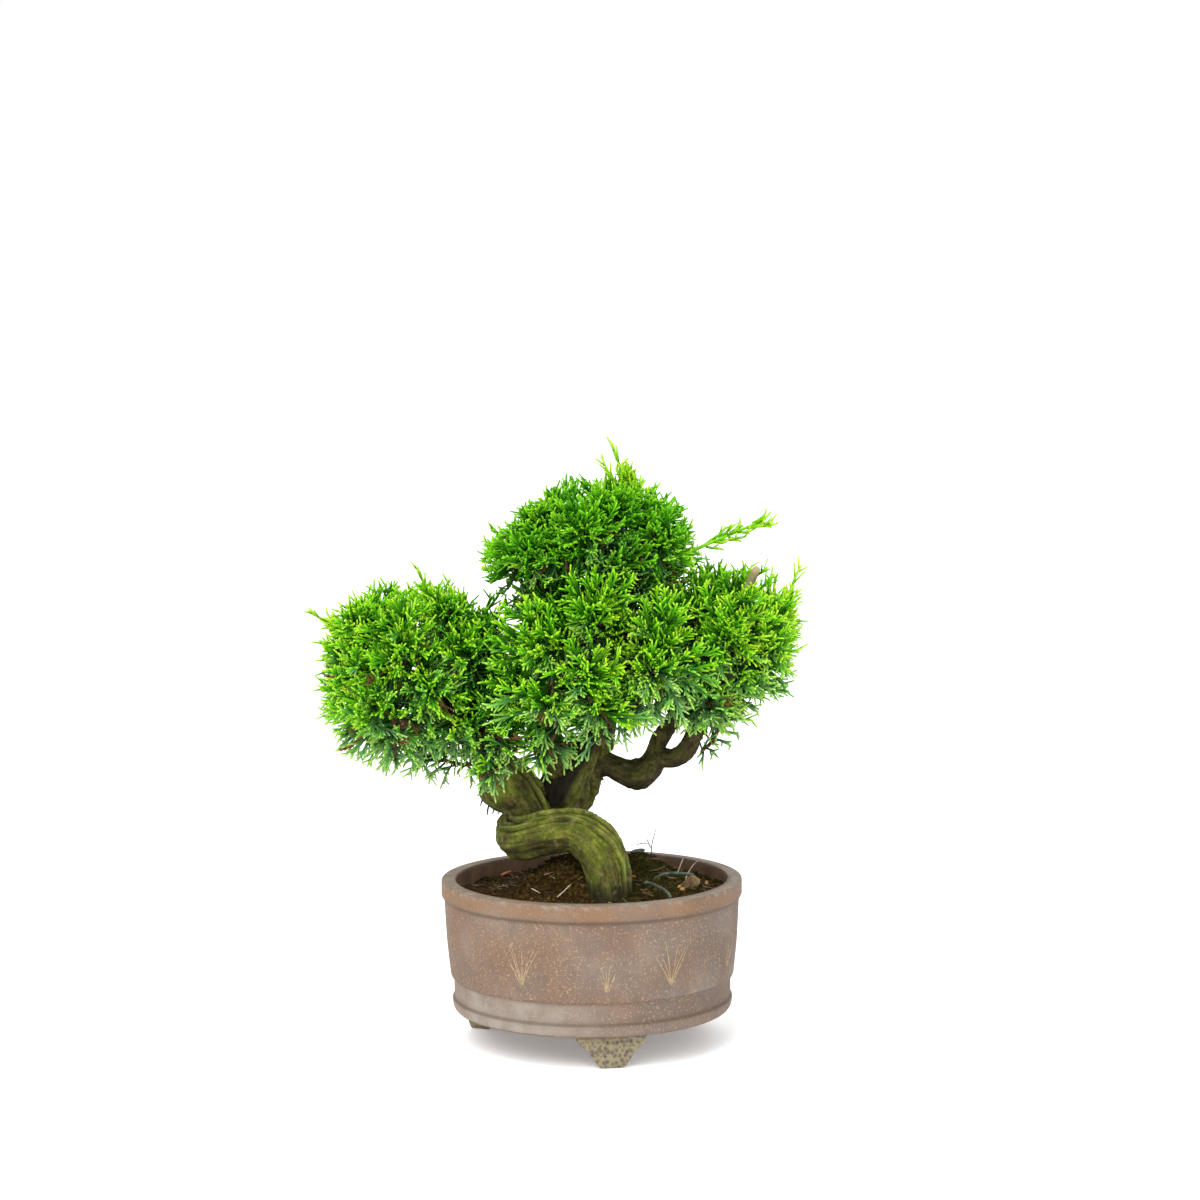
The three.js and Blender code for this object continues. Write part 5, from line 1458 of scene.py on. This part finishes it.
# %% Moss
MOSS_TUFTS = 1250
blades, blade_faces = [], []
for k in range(5):
    lean, bearing = 0.15 + 0.6 * litter_draw.random(), k * 0.9 + litter_draw.random()
    reach = litter_draw.uniform(0.75, 1.3)
    blade = np.array([(0.16, 0, 0), (-0.09, 0.14, 0), (-0.09, -0.14, 0), (0.1, 0, reach * 0.6),
                      (-0.06, 0.09, reach * 0.6), (-0.06, -0.09, reach * 0.6), (0, 0, reach)])
    offset = len(blades)
    blades += [tuple(p) for p in blade @ np.array(turned(lean, bearing)).T]
    for j in range(3):
        i, n = offset + j, offset + (j + 1) % 3
        blade_faces += [(i, n, n + 3, i + 3), (i + 3, n + 3, offset + 6)]
moss_paint, tree, shader = new_material("moss_paint", 0.9, 0.05)
tree.links.new(ramp(tree, grain(tree, 4, 4), (0.3, (0.008, 0.010, 0.002)), (0.5, (0.03, 0.034, 0.005)),
                    (0.66, (0.075, 0.075, 0.012)), (0.8, (0.15, 0.125, 0.03))), shader.inputs["Base Color"])
bump(tree, shader, grain(tree, 0.3, 3), 0.05)
spots = []
while len(spots) < MOSS_TUFTS:
    x, y, z = soil_spot()
    wanted = 1.0 if 8 < x < 44 else 0.35 if math.hypot(x + 10, y + 6) < 16 else 0.08
    if litter_draw.random() < wanted * (0.5 + 0.9 * noise.noise(Vector((x, y, 5)) / 6)):
        spots.append((place(x, y, z - 0.4), turned(litter_draw.uniform(0, 0.5), litter_draw.uniform(0, 6)),
                      litter_draw.uniform(0.8, 1.9)))
scattered("moss_tufts", np.array(blades), blade_faces, spots, moss_paint)

# %% [markdown]
# Dry fibres and bits of straw lie flat on the soil. Each is one thin bent rod of unit length,
# made with the same tube as the shoots and scaled to its own length.

# %% Loose fibres
FIBRES = 170
ROD_LINE = [Vector((0, 0, -0.5)), Vector((0.04, 0.02, 0)), Vector((0, 0.06, 0.5))]
rod_points, rod_faces = tube(ROD_LINE, [0.028, 0.03, 0.02], 4, 0)
straw_paint, tree, shader = new_material("straw_paint", 0.7, 0.3)
tree.links.new(ramp(tree, grain(tree, 6, 4), (0.35, (0.04, 0.022, 0.012)), (0.55, (0.16, 0.09, 0.045)),
                    (0.7, (0.42, 0.3, 0.16))), shader.inputs["Base Color"])
bump(tree, shader, grain(tree, 0.4, 4), 0.08)
spots = []
for _ in range(FIBRES):
    x, y, z = soil_spot(49)
    lying = math.pi / 2 + litter_draw.uniform(-0.25, 0.25)
    turn = turned(lying, litter_draw.uniform(0, 6.28))
    spots.append((place(x, y, z + 0.3), turn, litter_draw.uniform(3.5, 9)))
scattered("fibres", np.array([tuple(p) for p in rod_points]), rod_faces, spots, straw_paint)

# %% [markdown]
# A few bits of litter are large enough to know by sight: pale straws, two orange scales of bark,
# small dead twigs, and flakes that hang from the left knee. Each is a thin rod through a few
# points, because at this size a rod with a tapered end passes for all of them.

# %% Single bits of litter


def rods_along(name, paths, radius, material):
    """Round rods through chains of points in millimetres, joined into one piece."""
    points, faces = [], []
    for path in paths:
        chain = [place(*p) for p in path]
        radii = [radius * MM * (1 - 0.45 * k / (len(chain) - 1)) for k in range(len(chain))]
        more, more_faces = tube(chain, radii, 6, 0)
        faces += [tuple(i + len(points) for i in face) for face in more_faces]
        points += more
    piece = mesh_piece(name, points, faces)
    modify(piece, "SUBSURF", levels=1)
    piece.data.materials.append(material)
    smooth(piece)
    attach(piece, "root")
    return piece


def plain_finish(name, dark, pale, size, roughness=0.8):
    """A weathered finish between two colours."""
    material, tree, shader = new_material(name, roughness, 0.3)
    colors = ramp(tree, grain(tree, size, 6), (0.32, dark), (0.68, pale))
    tree.links.new(colors, shader.inputs["Base Color"])
    bump(tree, shader, grain(tree, size / 3, 5), 0.15)
    return material


pale_straw = plain_finish("pale_straw", (0.35, 0.27, 0.16), (0.75, 0.66, 0.46), 2)
orange_scale = plain_finish("orange_scale", (0.3, 0.1, 0.03), (0.66, 0.28, 0.09), 2)
dead_wood = plain_finish("dead_wood", (0.012, 0.009, 0.007), (0.07, 0.055, 0.045), 1.5)
grey_chip = plain_finish("grey_chip", (0.03, 0.027, 0.026), (0.2, 0.18, 0.17), 1.8)
ochre_stone = plain_finish("ochre_stone", (0.22, 0.13, 0.04), (0.55, 0.36, 0.12), 2)

STRAWS = [
    [(-13.8, -28.6, 62), (-11, -25.4, 63.8), (-8, -22, 66.2)],
    [(-24.3, -17.5, 64), (-20.1, -24.8, 63.3)],
    [(33.4, 8, 61), (35.5, 8, 67.5), (36.8, 7.6, 70.6)],
    [(36.6, 6, 60), (40, 6, 68), (42.6, 5.4, 70)],
]
BARK_SCALES = [
    [(-37.4, 27, 60.4), (-35.4, 30, 60.9), (-33.4, 34, 61)],
    [(12.6, -13, 70.5), (14.6, -12, 67.5), (17.4, -10.6, 66.8)],
]
DEAD_TWIG = [
    [(24, 12, 64), (24.2, 12, 70), (24, 12, 75), (25.2, 11.6, 79), (26, 11.2, 82)],
    [(24, 12, 74), (22.9, 11, 76.4), (22.2, 10.6, 78.6)],
    [(23, 11.1, 76.2), (20.4, 10, 76.8), (17.6, 9.6, 75.6)],
    [(12.6, 8, 64), (13, 8, 71.6), (13.6, 8, 75)],
    [(13, 8, 71), (11.4, 8, 73)],
]
KNEE_FLAKES = [
    [(-41.6, 1.4, 98), (-42.6, 0.6, 94.6)],
    [(-40.4, 0.4, 95), (-41.2, -0.4, 92), (-41, -0.6, 90.4)],
    [(-38.6, 0, 92.6), (-39.6, -1, 90)],
    [(-36.6, -1, 91.4), (-37.2, -2, 89.2)],
    [(-34.6, -1.6, 90.4), (-35, -2.4, 88.6)],
]
rods_along("straws", STRAWS, 0.36, pale_straw)
rods_along("bark_scales", BARK_SCALES, 0.7, orange_scale)
rods_along("dead_twig", DEAD_TWIG, 0.34, dead_wood)


def hung_on_bark(path):
    """A chain of points moved so that its first one lies just under the bark."""
    start = place(*path[0])
    _, found, normal, _ = trunk.closest_point_on_mesh(start)
    shift = (found - start) / MM - normal * 0.9
    return [tuple(Vector(spot) + shift) for spot in path]


rods_along("knee_flakes", [hung_on_bark(path) for path in KNEE_FLAKES], 0.55, dead_wood)
print("rods of litter", len(STRAWS) + len(BARK_SCALES) + len(DEAD_TWIG) + len(KNEE_FLAKES))

# %% [markdown]
# Beside the twig lies a grey chip, a wedge of bark with eight corners that subdivision rounds.
# The pebbles are three larger crumbs in an ochre stone finish, two of them by the cut root.

# %% Chip and pebbles
CHIP_LIFT = ground(18.5, 15) + 0.2
chip = mesh_piece("chip", [place(x, y, z + CHIP_LIFT) for x, y, z in (
    (14.8, 13, -0.4), (22, 14, 0), (22.6, 17, 0.2), (15.4, 16.4, -0.2),
    (15.2, 13.4, 1.8), (22.2, 14.4, 2.6), (22.4, 16.8, 2.4), (16, 16, 1.6))],
                  [(3, 2, 1, 0), (4, 5, 6, 7), (0, 1, 5, 4), (1, 2, 6, 5), (2, 3, 7, 6), (3, 0, 4, 7)])
modify(chip, "SUBSURF", levels=2)
chip.data.materials.append(grey_chip)
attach(chip, "root")
pebbles = scattered("pebbles", crumb_points, crumb_faces,
                    [(place(35.6, -24.5, 64.4), turned(0.3, 1), 1.7),
                     (place(34.3, -22.6, 64.9), turned(1, 2), 1.2),
                     (place(46, 2, 61.6), turned(2, 2), 1.3)], ochre_stone)
modify(pebbles, "SUBSURF", levels=1)

# %% [markdown]
# The tie wire is old wire with a grey-green coat that has worn off in places. The clip is bright
# wire, the screen dark plastic and the grit a pale one. Of all these only the tie wire is in
# sight, so the others get plain finishes.

# %% Wire finishes
wire_paint, tree, shader = new_material("tie_wire_paint", 0.55, 0.5)
shader.inputs["Metallic"].default_value = 0.35
weathered = ramp(tree, grain(tree, 2.5, 6), (0.35, (0.03, 0.045, 0.03)), (0.6, (0.09, 0.12, 0.085)),
                 (0.75, (0.26, 0.28, 0.2)))
tree.links.new(weathered, shader.inputs["Base Color"])
bump(tree, shader, grain(tree, 0.7, 4), 0.08)
clip_paint, tree, shader = new_material("clip_wire_paint", 0.35, 0.5)
shader.inputs["Metallic"].default_value = 0.9
bright = ramp(tree, grain(tree, 1.2, 5), (0.3, (0.5, 0.5, 0.5)), (0.7, (0.72, 0.72, 0.71)))
tree.links.new(bright, shader.inputs["Base Color"])
bump(tree, shader, grain(tree, 0.4, 4), 0.03)
screen_paint = plain_finish("screen_plastic", (0.012, 0.012, 0.013), (0.035, 0.035, 0.034), 1.5, 0.55)
grit_paint = plain_finish("grit_paint", (0.12, 0.09, 0.06), (0.42, 0.34, 0.24), 3)
print("wire, plastic and grit finishes are mixed")

# %% [markdown]
# These pieces keep the frame's shapes. The two wires become round by subdivision, which also
# thins them, so their skin is lifted again. The screen's bars lose their sharp edges. The grit is
# rebuilt as a fine net and dented where cells meet, so that it reads as packed stones.

# %% Wires, screen and grit
WIRE_LIFT = 0.04
GRIT_PITCH, GRIT_SIZE, GRIT_DENT = 0.9, 3.4, 1.1
WIRES = [("tie_wire", wire_paint, "tie_wire"), ("screen_clip", clip_paint, "clip_wire")]
for node, material, slot in WIRES:
    wire = cad_copy(node, node + "_fine")
    modify(wire, "SUBSURF", levels=2)
    points = points_of(wire)
    set_points(wire, points + normals_of(wire) * WIRE_LIFT)
    repaint(wire, material)
    smooth(wire)
    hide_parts(node)
    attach(wire, "root")
screen = cad_copy("drain_screen", "drain_screen_fine")
modify(screen, "BEVEL", width=0.12 * MM, segments=2, limit_method="ANGLE", angle_limit=math.radians(40))
repaint(screen, screen_paint)
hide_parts("drain_screen")
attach(screen, "root")
grit = cad_copy("drainage_grit", "drainage_grit_fine")
modify(grit, "REMESH", mode="VOXEL", voxel_size=GRIT_PITCH * MM)
points = points_of(grit)
lumps = np.array([noise.voronoi(Vector(p) / GRIT_SIZE)[0][0] for p in points])
set_points(grit, points - normals_of(grit) * (lumps * GRIT_DENT)[:, None])
repaint(grit, grit_paint)
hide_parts("drainage_grit")
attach(grit, "root")
print("wires, screen and grit are finished")
